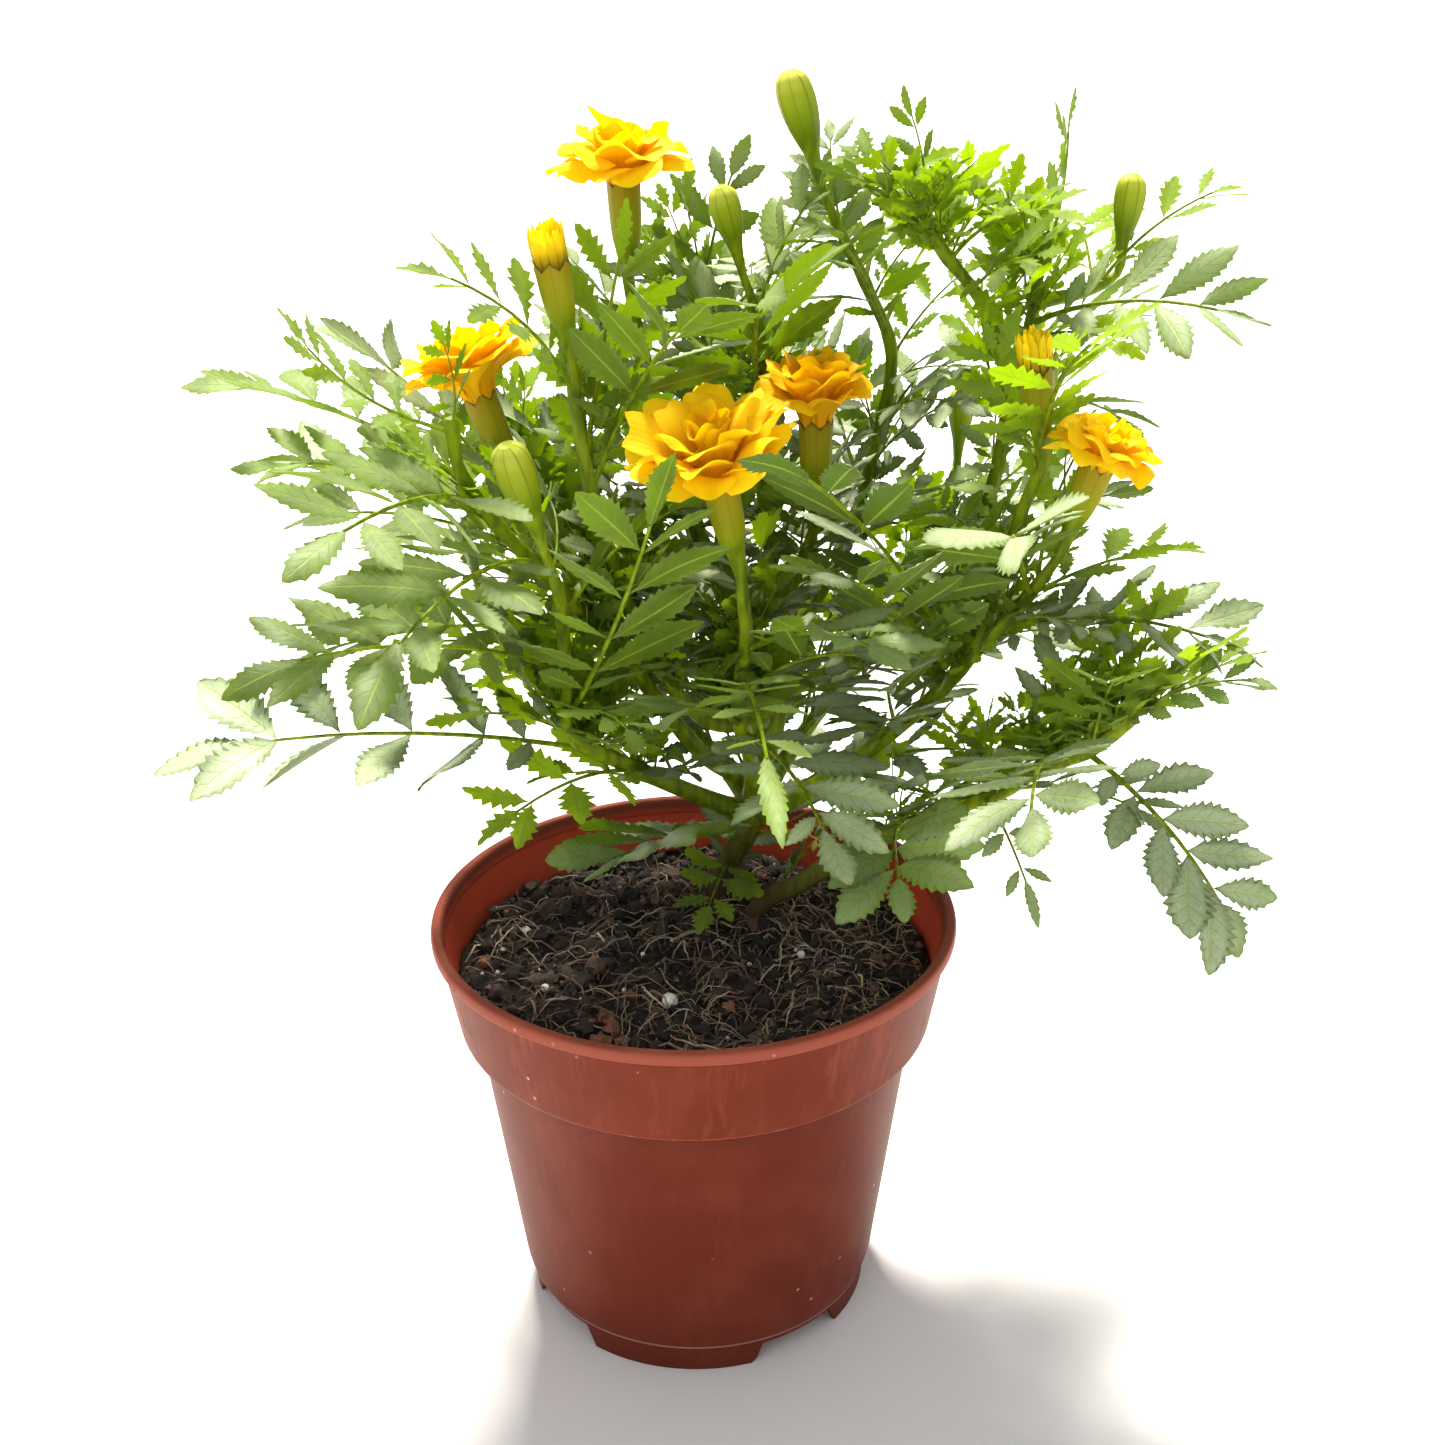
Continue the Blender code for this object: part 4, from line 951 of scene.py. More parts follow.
def toothedPattern(teeth, look, rows):  # pointed at both ends; the rim points are shared by both faces
    edge = []
    low, high = 0.10, 0.97
    for number in range(teeth):
        width = (high - low) / teeth
        edge.append((low + width * number, 1 - look["toothDepth"]))
        edge.append((low + width * (number + 0.80), 1 + look["toothDepth"] * 0.5))
    along, across, face, wide, quilt = [0.0, 1.0], [0.0, 0.0], [0.0, 0.0], [1.0, 1.0], [0.0, 0.0]
    grid = {}
    for column, (t, factor) in enumerate(edge):
        slant = look["slant"] * math.sin(math.pi * t)
        for row, side in enumerate(rows):
            inner = 1 - abs(side)
            for top in (1, -1):
                if abs(side) == 1.0 and top == -1:
                    grid[column, row, -1] = grid[column, row, 1]
                    continue
                grid[column, row, top] = len(along)
                along.append(t - slant * inner)
                across.append(side)
                face.append(top if abs(side) < 1 else 0)
                wide.append(1 + (factor - 1) * abs(side) ** 2)
                quilt.append((1 if column % 2 == 0 else -1) * inner * 2 if abs(side) == 0.5 else 0.0)
    faces = []
    last = len(edge) - 1
    for top in (1, -1):
        for row in range(len(rows) - 1):
            for column in range(last):
                faces.append(flipped((grid[column, row, top], grid[column, row + 1, top],
                                      grid[column + 1, row + 1, top], grid[column + 1, row, top]), top))
            faces.append(flipped((0, grid[0, row + 1, top], grid[0, row, top]), top))
            faces.append(flipped((grid[last, row, top], grid[last, row + 1, top], 1), top))
    return [np.array(values) for values in (along, across, face, wide, quilt)] + [faces]


def sheetPattern(columns, rows):  # a sheet with a rim all round that both faces share
    along, across, face = [], [], []
    grid = {}
    for column in range(columns + 1):
        for row in range(rows + 1):
            rim = column in (0, columns) or row in (0, rows)
            for top in (1, -1):
                if rim and top == -1:
                    grid[column, row, -1] = grid[column, row, 1]
                    continue
                grid[column, row, top] = len(along)
                along.append(column / columns)
                across.append(2 * row / rows - 1)
                face.append(0 if rim else top)
    faces = []
    for top in (1, -1):
        for column in range(columns):
            for row in range(rows):
                faces.append(flipped((grid[column, row, top], grid[column + 1, row, top],
                                      grid[column + 1, row + 1, top], grid[column, row + 1, top]), top))
    return np.array(along), np.array(across), np.array(face), faces


# The teeth on each side of a leaflet go by its length: over so many mm, so many teeth
bladeLook = {"toothDepth": 0.17, "slant": 0.11, "thick": 0.40, "quilt": 0.007, "swelling": (0.92, 1.3),
             "teeth": [(22, 9), (16, 7), (11, 6), (7, 5), (0, 4)]}
youngLook = {"toothDepth": 0.34, "slant": 0.16, "swelling": (1.05, 1.5),
             "teeth": [(16, 6), (11, 5), (7, 4), (0, 3)]}
youngFrom = 0.62  # the youth from which a leaflet is cut as a young one
wideRows, slimRows = (-1.0, -0.5, 0.0, 0.5, 1.0), (-1.0, 0.0, 1.0)
patterns = {teeth: toothedPattern(teeth, bladeLook, wideRows if teeth > 5 else slimRows)
            for over, teeth in bladeLook["teeth"]}
youngPatterns = {teeth: toothedPattern(teeth, youngLook, slimRows) for over, teeth in youngLook["teeth"]}


# The ranges within which each leaflet differs: angles in degrees, the rest as shares of its width or length
leafletRanges = {"fold": (2, 28), "drop": (0.05, 0.30), "wave": (0.03, 0.12), "waves": (6, 11),
                 "start": (0, 6), "twist": (-40, 40), "tilt": (-24, 24), "droop": (-0.04, 0.20),
                 "swerve": (-0.07, 0.07)}


def addLeaflet(batch, root, axis, across, above, length, width, draw, youth, tintAndPaintedShade):
    def drawn(kind):
        return draw.uniform(*leafletRanges[kind])

    look, made = (youngLook, youngPatterns) if youth > youngFrom else (bladeLook, patterns)
    teeth = next(number for over, number in look["teeth"] if length > over)
    t, side, face, wide, quilt, faces = made[teeth]
    swelling = draw.uniform(*look["swelling"])
    half = width * np.sin(math.pi * np.clip(t, 0, 1) ** swelling) ** 0.86 * wide
    fold = math.tan(math.radians(drawn("fold")))
    x = side * half
    y = t * length
    z = np.abs(x) * fold - side ** 2 * half * drawn("drop")
    wave = drawn("wave") * width * np.sin(t * drawn("waves") + side * 1.6 + drawn("start"))
    z = z + wave * np.abs(side) + quilt * bladeLook["quilt"] * length
    z = z + face * bladeLook["thick"] / 2 * (1 - 0.4 * np.abs(side))
    twist = math.radians(drawn("twist")) * t + math.radians(drawn("tilt"))
    x, z = x * np.cos(twist) - z * np.sin(twist), x * np.sin(twist) + z * np.cos(twist)
    z = z - drawn("droop") * length * t * t
    x = x + drawn("swerve") * length * t * t
    basis = np.array([list(across), list(axis), list(above)])
    points = np.stack([x, y, z], 1) @ basis + np.array(list(root))
    tones = np.stack([np.full(len(t), tintAndPaintedShade), np.full(len(t), youth), 0.5 - 0.5 * face], 1)
    pour(batch, points, faces, np.stack([side / 2 + 0.5, t], 1), tones)


# Blooms, buds and their stalks stay free of small leaves toward the side from which the plant is shown
shownFrom = Vector((0, -478, 393))
stalksShown = {  # mm of the stalk, from its head down
    "main_stem": 30, "front_stem": 50, "right_stem": 35, "left_centre_stem": 45, "right_stem_twig_0": 20,
    "rear_right_stem": 60, "low_left_stem": 75, "upper_right_stem_twig_1": 15,
}
stalkRadius = 3.5
shownBlooms, shownStalks = [], []  # balls that are kept in sight: centre and radius
for name, (node, twig, radius, number) in blooms.items():
    foot, ahead = headSeat(node, twig)
    shownBlooms.append((foot + ahead * 7, radius * 0.85))
for name, (node, twig) in halfOpenBuds.items():
    foot, ahead = headSeat(node, twig)
    shownBlooms.append((foot + ahead * 4, 6.0))
for grown in stems.values():
    for key, path, radii, head, leaves in grown:
        if key in stalksShown:
            last = len(path) - 1
            points = [alongPath(path, last - step * 0.1) for step in range(last * 10)]
            travelled = 0.0
            for after, before in zip(points, points[1:]):
                travelled += (after - before).length
                if travelled < stalksShown[key]:
                    shownStalks.append((before, stalkRadius))
for node in rootedStems:  # their feet, over the soil
    shownStalks += [(alongPath(stems[node][0][1], 0.2 + step * 0.12), stalkRadius) for step in range(16)]
shownStalks.append((yellowFoot.lerp(yellowEnd, 0.6), 8.0))
# Open spaces between the stems, marked at the plant's far side: x, z and radius
farSide = 118
openings = [(Vector((x, farSide, z)), radius) for x, z, radius in (
    (16, 305, 15), (68, 332, 15), (86, 326, 10), (121, 313, 11), (67, 267, 16), (46, 122, 12))]
# How far along a leaf, and half its width there, as shares of its length
leafWidths = [(0.3, 0.26), (0.5, 0.27), (0.7, 0.25), (0.87, 0.16), (1.0, 0.04)]


def hides(point, reach, balls):  # whether a point, with reach round it, stands before one of the balls
    for centre, radius in balls:
        line = shownFrom - centre
        share = (point - centre).dot(line) / line.length_squared
        if 0 < share < 1 and (point - centre - line * share).length < (radius + reach) * (1 - share):
            return True
    return False


def leafHides(base, tip):
    length = (tip - base).length
    for share, wide in leafWidths:
        if hides(base.lerp(tip, share), wide * length, shownBlooms + shownStalks):
            return True
        if share > 0.6 and hides(base.lerp(tip, share), 1.0, openings):
            return True
    return False


boxMargin = 1.8
boxTop = cadBox[1].z / mm


def insideBox(point):  # whether a point is within the model's box
    low, high = cadBox[0] / mm, cadBox[1] / mm
    return all(low[k] + boxMargin < point[k] < high[k] - boxMargin for k in range(3))


def depthInBush(point):  # 0 at the bush's outside, 1 in its middle; leaves deeper in get more painted shade
    flat = math.hypot(point.x - plantAxis.x, (point.y - plantAxis.y) * 1.15)
    low = clamp((point.z - 125) / 50)  # the leaves over the soil are lit from the front again
    return max(0.0, 1 - math.hypot(flat, max(0.0, point.z - 190) * 0.95) / 125) * 0.9 * low


# Parts of the bush, seen from the photo's side, whose leaves are younger or darker than the rules below make
# them: centre (x, z), half width and height, added youth and added painted shade
leafTints = [((-95, 170), (60, 70), 0.30, 0.90), ((-40, 185), (35, 50), 0.35, -0.10),
             ((15, 300), (75, 75), -0.18, -0.35), ((95, 310), (50, 50), 0.20, -0.20)]


def tintAt(tip):  # the youth and painted shade that are added there
    younger, darker = 0.0, 0.0
    for (x, z), (wide, tall), addedYouth, addedShade in leafTints:
        share = clamp(2 * (1 - max(abs(tip.x - x) / wide, abs(tip.z - z) / tall)))
        younger += addedYouth * share
        darker += addedShade * share
    return younger, darker


leafShape = {"basalAt": 0.145, "basalShare": 0.55, "ribRadii": (0.95, 0.42), "ribRings": 9, "ribSides": 6}
leafletWidth = 0.175
onEdge = 60  # a leaf that is rolled further stands on edge and hides nothing


def addLeaf(batch, leaf, draw, youth, widthShare=leafletWidth, leafletShare=1.0, paintedShadeOffset=0.0):
    base, tip, arch, roll, pairs = leaf
    spine, directions = leafCurve(base, tip, arch, roll)
    length = (tip - base).length
    younger, darker = tintAt(tip)
    # Painted shade: a random share, more deep in the bush, plus what the tints and the offset add
    tintAndPaintedShade = max(0.0, draw.random() * 0.6 + depthInBush(tip) + paintedShadeOffset + darker)
    youth = clamp(youth + younger)
    # The places of its leaflets on the rib: how far along, share of the way between the pairs, share of size
    stations = [(leafShape["basalAt"], 0.0, leafShape["basalShare"])]
    for number in range(pairs):
        share = number / (pairs - 1)
        stations.append((firstPair + (lastPair - firstPair) * share, share, 1.0))
    for s, share, size in stations:
        reach, lean = leafletSize(length, share)
        for hand in (1, -1):
            at = s + draw.uniform(-0.012, 0.012)
            ahead, side, above = directions(at)
            leaned = lean + math.radians(draw.uniform(-7, 7))
            axis, across = leafletAxes(ahead, side, above, hand, leaned)
            grown = reach * size * leafletShare * draw.uniform(0.84, 1.06)
            cross = across * hand
            root = spine(at) + side * (hand * 0.4)
            slim = widthShare * draw.uniform(0.85, 1.15)
            if abs(roll) < onEdge and hides(root + axis * (grown * 0.6), 0, shownBlooms + shownStalks):
                grown, slim = grown * 0.7, slim * 0.6
            while grown > 3 and not insideBox(root + axis * grown):
                grown *= 0.93
            addLeaflet(batch, root, axis, cross, cross.cross(axis), grown, grown * slim, draw, youth,
                       clamp(tintAndPaintedShade + draw.uniform(-0.2, 0.2)))
    foot = spine(terminalAt)
    ahead, side, above = directions(terminalAt)
    axis = (tip - foot).normalized()
    side = axis.cross(above).normalized()
    reach = (tip - foot).length
    while reach > 3 and not insideBox(foot + axis * reach):
        reach *= 0.97
    slim = (terminalWidth + 0.02) * min(1.0, leafletShare) * max(1.0, widthShare / leafletWidth) ** 0.6
    if abs(roll) < onEdge and hides(foot.lerp(tip, 0.6), 0, shownBlooms + shownStalks):
        slim *= 0.6
    addLeaflet(batch, foot, axis, side, side.cross(axis), reach, reach * slim, draw, youth, tintAndPaintedShade)
    # The rib is a slim round rod, which starts inside its stem and ends in the last leaflet
    rings, sides = leafShape["ribRings"], leafShape["ribSides"]
    centres = [spine((terminalAt + 0.02) * k / (rings - 1)) for k in range(rings)]
    wide, slim = leafShape["ribRadii"]
    ease = min(1.0, length / 70)
    radii = [(wide + (slim - wide) * (k / (rings - 1)) ** 0.6) * ease for k in range(rings)]
    shell, faces = ringPoints(centres, radii, sides)
    closeEnds(faces, rings, sides)
    places = [(0.25 + 0.5 * (k % sides) / sides, 0.1) for k in range(len(shell))]
    pour(batch, shell, faces, places, (tintAndPaintedShade, 0.0, 0.0), 1)


# Stems: ribbed tubes on the same lines as the solids, swelling into calyxes and closed buds

# The heads' finer outlines: blunt buds that draw in slowly to the neck, and nearly straight cups
finerHeads = {
    "calyx": [(0.0, 4.7), (3.0, 4.55), (12.0, 4.25), (17.0, 3.7), (22.0, 2.5), (30.0, 1.6)],
    "slim_calyx": [(0.0, 4.5), (3.0, 4.35), (10.0, 4.0), (14.5, 3.3), (19.0, 2.2), (27.0, 1.35)],
    "bud": [(0.8, 2.9), (1.8, 3.9), (3.8, 4.6), (8.0, 5.0), (13.0, 4.6), (17.0, 3.8), (21.0, 2.7),
            (25.0, 1.9), (34.0, 1.2)],
    "small_bud": [(0.7, 2.4), (1.6, 3.3), (3.2, 3.9), (6.5, 4.1), (10.5, 3.6), (14.0, 2.7), (18.0, 1.8),
                  (26.0, 1.1)],
}
rootReach = 12


def rootOf(path, carriers):  # the nearest point on the lines of the stems that were placed before
    nearest, least = None, rootReach
    for other in carriers:
        for step in range((len(other) - 1) * 8 + 1):
            point = alongPath(other, step / 8)
            away = (point - path[0]).length
            if away < least:
                nearest, least = point, away
    return nearest


def addStem(batch, path, radii, head, wood, draw, leafPlaces, root):  # wood: how brown its foot is
    controls, sizes, back = stemControls(path, radii, head, finerHeads)
    bud = head in ("bud", "small_bud")
    isHead = head is not None  # whether it ends in a cup or bud
    centres, widths, backs = [], [], []
    for number in range(len(controls) - 1):
        steps = max(2, int((controls[number + 1] - controls[number]).length / 2.2))
        for step in range(steps):
            t = step / steps
            centres.append(alongPath(controls, number + t))
            away = (centres[-1] - controls[0]).length
            flare = 1 + calyxLook["collar"] * math.exp(-away / calyxLook["collarReach"])
            widths.append(max(0.5, alongPath(sizes, number + t)) * flare)
            backs.append(back[number] + (back[number + 1] - back[number]) * t)
    centres.append(controls[-1])
    widths.append(sizes[-1])
    backs.append(0.0)
    if isHead and not bud:  # the rim stands a little back, and the florets show between it and the petals
        kept = [k for k, distance in enumerate(backs) if distance > calyxLook["rimBack"]]
        centres, widths, backs = [[row[k] for k in kept] for row in (centres, widths, backs)]
    if root and (centres[0] - root).length > 0.5:
        centres.insert(0, root)
        widths.insert(0, widths[0])
        backs.insert(0, backs[0] + 3.0)
    nodes = [alongPath(path, place) for place in leafPlaces]
    sides = calyxLook["sides" if isHead else "stemSides"]
    cupFrom = calyxLook["cupFrom"].get(head, 0.0)
    deep = calyxLook["budDepth"] if bud else calyxLook["ribDepth"]
    waver = draw.uniform(0, 6)

    # A stem is a little five-sided and swells where leaves hang; a head has ribs, and a cup's rim has teeth
    def swell(number, angle):
        distance = backs[number]
        wide = 1 + 0.05 * math.cos(5 * angle + waver)
        for at in nodes:
            wide += 0.16 * math.exp(-((centres[number] - at).length / 3.0) ** 2)
        lift = 0.0
        if isHead and distance < cupFrom + 4:
            share = min(1.0, (cupFrom + 4 - distance) / 4)
            cup = 1 + deep * (2 * abs(math.cos(angle * calyxLook["ribs"] / 2)) - 1)
            wide = wide * (1 - share) + cup * share
        if isHead and not bud and number == len(centres) - 1:
            turn = (angle * calyxLook["teeth"] / (2 * math.pi)) % 1.0
            lift = calyxLook["toothRise"] * (1 - abs(2 * turn - 1)) - 0.6
        return wide, lift

    shell, faces = ringPoints(centres, widths, sides, swell)
    ahead = (centres[-1] - centres[-2]).normalized()
    if bud:  # sepals draw together to a small point
        rings = [(0.60, 0.8), (0.25, 1.0)]
    elif isHead:  # the cup's wall turns in and goes down inside
        rings = [(0.90, 0.0), (0.84, -3.0)]
    else:
        rings = [(0.6, 0.8)]
    for share, rise in rings:
        first = len(shell) - sides
        middle = centres[-1]
        for outer in shell[first:]:
            flat = outer - middle
            if share == rings[0][0]:
                shell.append(middle + flat * share + ahead * rise)
            else:
                scale = share / rings[0][0]
                drop = ahead * (rise - rings[0][1]) - ahead * flat.dot(ahead) * 0.5
                shell.append(middle + flat * scale + drop)
        faces += bandFaces(first, first + sides, sides)
    total = len(shell) // sides
    closeEnds(faces, total, sides)
    places, tones = [], []
    for ring in range(total):
        distance = backs[min(ring, len(backs) - 1)]
        share = clamp((cupFrom + 2.5 - distance) / 5) if isHead else 0.0
        height = max(0.0, 1 - distance / cupFrom) if isHead else 0.0
        if not bud:
            height = 1.0 if isHead and ring >= len(backs) - 1 else height * 0.9
        brown = wood * max(0.0, 1 - (centres[min(ring, len(centres) - 1)].z - soilTop) / 42)
        for step in range(sides):
            places.append((step / sides, height))
            tones.append((1.0 if bud else 0.0, min(1.0, brown), share))
    pour(batch, shell, faces, places, tones, 1)


# More leaves fill the bush, as real axils do, by a rule: small leaves wherever one hangs clear

smallPairs = 3
goldenAngle = math.radians(137.5)  # each leaf's turn round the stem from the one below it
fillLook = {
    "spacing": 6.0, "short": 32, "long": 66, "leaflets": 1.2, "top": 14, "margin": 0.1,
    "tries": [(0, 0), (18, 10), (-18, 10), (34, -8), (-34, -8), (60, 6), (-60, 6), (100, 0), (-100, 0)],
}


def lengthOf(path):
    points = [alongPath(path, step / 6) for step in range((len(path) - 1) * 6 + 1)]
    return sum((b - a).length for a, b in zip(points, points[1:]))


def aimed(foot, heading, rise, length):  # the point so far from the foot; angles in radians
    flat = math.cos(rise)
    return foot + Vector((math.cos(heading) * flat, math.sin(heading) * flat, math.sin(rise))) * length


def fillLeaves(key, path, head, draw):  # small leaves along a stem, each turned on from the one below
    grown = []
    last = len(path) - 1
    stop = last - (1.2 if head else 0.1)
    count = int(lengthOf(path) / fillLook["spacing"])
    turn = draw.uniform(0, 6)
    for number in range(count):
        foot = alongPath(path, 0.6 + (stop - 0.6) * (number + draw.random() * 0.6) / count)
        out = Vector((foot.x - plantAxis.x, foot.y - plantAxis.y, 0))
        turn += goldenAngle
        heading = turn
        if out.length > 25:  # outer stems send more leaves outwards
            heading = math.atan2(out.y, out.x) + math.remainder(turn, 2 * math.pi) * 0.62
        rise = math.radians(draw.uniform(0, 52))
        length = draw.uniform(fillLook["short"], fillLook["long"])
        tip = aimed(foot, heading, rise, length)
        if tip.z > boxTop - fillLook["top"]:
            continue
        arch = length * draw.uniform(0.04, 0.13)
        roll = draw.uniform(-30, 30)
        end = placeLeaf(f"{key}_fill_{number}", foot, tip, arch, roll, smallPairs, key, fillLook["tries"],
                        fillLook["margin"])
        if end and not leafHides(foot, end):
            grown.append((foot, end, arch, roll, smallPairs))
    return grown


shootLook = {"leaves": 5, "endLeaves": 7, "short": 16, "long": 34, "wide": 0.21, "leaflets": 1.25}


def shootLeaves(foot, ahead, draw, count):  # a young shoot: small bright leaves round a point
    grown = []
    start = draw.uniform(0, 6)
    for number in range(count):
        heading = start + number * goldenAngle
        rise = math.radians(draw.uniform(28, 74))
        length = draw.uniform(shootLook["short"], shootLook["long"])
        tip = aimed(foot, heading, rise, length) + ahead * (length * 0.3)
        inside = abs(tip.x) < reachSideways - 1 and abs(tip.y) < reachFore - 1
        if inside and soilTop + 12 < tip.z < boxTop - 3 and not leafHides(foot, tip):
            grown.append((foot, tip, length * 0.06, draw.uniform(-30, 30), smallPairs))
    return grown


# Leaves that stand out in the photo: stem and number, how broad and long their leaflets are, how young
shownLeaves = {
    ("low_right_stem", 0): (0.25, 1.15, 0.10), ("low_right_stem", 3): (0.27, 1.45, 0.50),
    ("low_right_stem", 4): (0.17, 0.65, 0.40), ("main_stem", 0): (0.25, 1.20, 0.35),
    ("right_stem", 0): (0.20, 1.00, 0.05),
    ("main_stem", 1): (0.25, 1.05, 0.95), ("low_left_stem", 0): (0.21, 1.15, 0.05),
    ("low_left_stem", 3): (0.23, 1.10, 0.30), ("front_stem", 2): (0.12, 0.50, 0.60),
    ("front_stem", 3): (0.21, 1.05, 0.30),
}

totalTriangles = 0
carriers = []
for index, (node, grown) in enumerate(stems.items()):
    draw = random.Random(100 + index)
    batch = newBatch()
    for key, path, radii, head, leaves in grown:
        wood = 1.0 if node in rootedStems else 0.5
        addStem(batch, path, radii, head, wood, draw, [leaf[0] for leaf in leaves], rootOf(path, carriers))
        carriers.append(path)
    for number, leaf in enumerate(hung[node]):
        height = (leaf[1].z - 180) / 160  # higher leaves are younger
        youth = clamp(0.06 + 0.5 * height + draw.uniform(0.0, 0.35))
        wide, long, youth = shownLeaves.get((node, number), (leafletWidth, 1.0, youth))
        # Those leaves are given less painted shade, so they look more lit
        paintedShadeOffset = -0.4 if (node, number) in shownLeaves else 0.0
        addLeaf(batch, leaf, draw, youth, wide, long, paintedShadeOffset)
    filled = 0
    for key, path, radii, head, leaves in grown:
        for leaf in fillLeaves(key, path, head, draw):
            filled += 1
            # Higher leaves and leaves farther from the plant's axis are younger
            outer = (leaf[1].z - 170) / 160 * 0.6 + (leaf[1] - plantAxis - up * leaf[1].z).length / 150 * 0.3
            youth = clamp(outer + draw.uniform(-0.3, 0.3))
            addLeaf(batch, leaf, draw, youth, leafletWidth, fillLook["leaflets"])
        axils = [leaf[0] for leaf in leaves if leaf[0] > 1.0]
        if not head:
            axils.append(len(path) - 1.02)
        for place in axils:
            foot = alongPath(path, place)
            ahead = (alongPath(path, place + 0.01) - foot).normalized()
            count = shootLook["endLeaves" if place > len(path) - 1.1 else "leaves"]
            count += 3 if depthInBush(foot) > 0.45 else 0  # more of them fill the bush's middle
            for leaf in shootLeaves(foot, ahead, draw, count):
                youth = draw.uniform(0.7, 1.0)
                addLeaf(batch, leaf, draw, youth, shootLook["wide"], shootLook["leaflets"])
    print(node, "fill leaves", filled)
    totalTriangles += makePiece(node + "_plant", batch, [leafSkin, stemSkin], [node])

batch = newBatch()
draw = random.Random(7)
addLeaf(batch, (yellowFoot, yellowEnd, *yellowLeaf[3:]), draw, 0.0)
totalTriangles += makePiece("yellow_leaf_blades", batch, [witheredSkin, witheredSkin],
                            ["yellow_leaf"])


# Blooms: ruffled ray florets in layers on the solids' own layers, over a ring of floret tubes

petalSheet = sheetPattern(12, 12)
slimSheet = sheetPattern(8, 6)
layerLook = [
    # count, reach, height of foot and tip, start radius, control point, half width, cup, ruffle, width at the
    # foot, curl at the tip
    {"count": 8, "reach": 1.06, "foot": 5.4, "rise": -0.06, "start": 3.8, "bend": (0.12, 7.6), "wide": 0.40,
     "cup": -0.10, "ruffle": 0.080, "claw": 0.17, "curl": 0.25},
    {"count": 8, "reach": 0.92, "foot": 5.6, "rise": 0.20, "start": 3.2, "bend": (0.14, 9.0), "wide": 0.38,
     "cup": 0.06, "ruffle": 0.085, "claw": 0.17, "curl": 0.20},
    {"count": 6, "reach": 0.64, "foot": 5.8, "rise": 0.34, "start": 2.4, "bend": (0.10, 10.5), "wide": 0.31,
     "cup": 0.20, "ruffle": 0.080, "claw": 0.17, "curl": 0.10},
    {"count": 5, "reach": 0.32, "foot": 6.0, "rise": 0.36, "start": 1.4, "bend": (0.05, 10.5), "wide": 0.18,
     "cup": 0.40, "ruffle": 0.050, "claw": 0.2, "curl": 0.0},
]
# Each bloom's own bearing: share of its width, added rise of the tips, mm that its petals stand higher, and
# added rise of its outer layers, which goes by outerShare
outerShare = (1.0, 0.4, 0.0, 0.0)
bearings = {
    "left_top_bloom": (1.0, -0.05, 0.0, 0.0), "left_rear_bloom": (1.03, 0.04, 3.0, 0.05),
    "front_bloom": (1.06, 0.10, 2.0, 0.16), "centre_bloom": (0.92, 0.12, 2.0, 0.06),
    "right_bloom": (0.96, -0.16, -1.0, 0.0),
}
# Single petals that stand up on their own: bloom, angle, reach, rise, half width
lonePetals = {"left_top_bloom": (math.radians(200), 0.42, 0.55, 0.15)}
petalFoot = 5.6  # the foot height that the control points are drawn for
petalHalf = 0.17  # half a petal's thickness
tubeLook = {"radius": 4.0, "count": 18, "slim": 0.78, "low": -3.2, "sides": 6}


# The ranges within which each petal differs
petalRanges = {"reach": (0.90, 1.0), "rise": (-0.08, 0.08), "lobes": (0.9, 1.7), "lobeStart": (0, 2),
               "width": (0.88, 1.08), "ruffles": (2.2, 4.2), "start": (0, 6), "waves": (5, 8),
               "curl": (-0.3, 1.0), "twist": (-16, 16)}


def addPetal(batch, seat, turn, angle, radius, look, draw, sheet=petalSheet, lean=0.0):
    def drawn(kind):
        return draw.uniform(*petalRanges[kind])

    t, side, face, faces = sheet
    reach = radius * look["reach"] * drawn("reach")
    tipHeight = look["foot"] + radius * (look["rise"] + drawn("rise")) + lean
    start = np.array([look["start"], -2.5])
    bend = np.array([look["start"] + radius * look["bend"][0], look["bend"][1] + look["foot"] - petalFoot])
    tip = np.array([reach, tipHeight])
    lobes = 0.11 * (np.abs((side * drawn("lobes") + drawn("lobeStart")) % 2 - 1) - 0.5) * t ** 5
    s = t * (1 - (0.10 * side ** 2 + 0.16 * side ** 6) * t ** 2 - lobes)
    line = [start[k] * (1 - s) ** 2 + bend[k] * 2 * s * (1 - s) + tip[k] * s ** 2 for k in (0, 1)]
    slope = [2 * (bend[k] - start[k]) * (1 - s) + 2 * (tip[k] - bend[k]) * s for k in (0, 1)]
    size = np.hypot(slope[0], slope[1])
    normal = [-slope[1] / size, slope[0] / size]
    grow = np.clip((t - 0.14) / 0.56, 0, 1)
    claw = look["claw"]
    half = radius * look["wide"] * (claw + (1 - claw) * grow * grow * (3 - 2 * grow)) * (1 - 0.12 * t ** 6)
    half = half * drawn("width")
    ruffle = radius * look["ruffle"] * np.sin(side * drawn("ruffles") + drawn("start")) * t ** 1.7
    ruffle = ruffle + radius * 0.022 * np.sin(t * drawn("waves") + side * 2 + drawn("start")) * t
    ruffle = ruffle - radius * look["curl"] * drawn("curl") * np.clip(t - 0.5, 0, 1) ** 2
    lift = radius * look["cup"] * side ** 2 * t ** 1.5 * 0.5 + ruffle + face * petalHalf
    out = line[0] + normal[0] * lift
    rise = line[1] + normal[1] * lift
    twist = math.radians(drawn("twist")) * t
    aside = side * half * np.cos(twist)
    rise = rise + side * half * np.sin(twist)
    x = out * math.cos(angle) - aside * math.sin(angle)
    y = out * math.sin(angle) + aside * math.cos(angle)
    basis = np.array(turn.to_matrix())
    points = np.stack([x, y, rise], 1) @ basis.T + np.array(list(seat))
    pour(batch, points, faces, np.stack([side / 2 + 0.5, t], 1), (draw.random(), 0.0, 0.0))


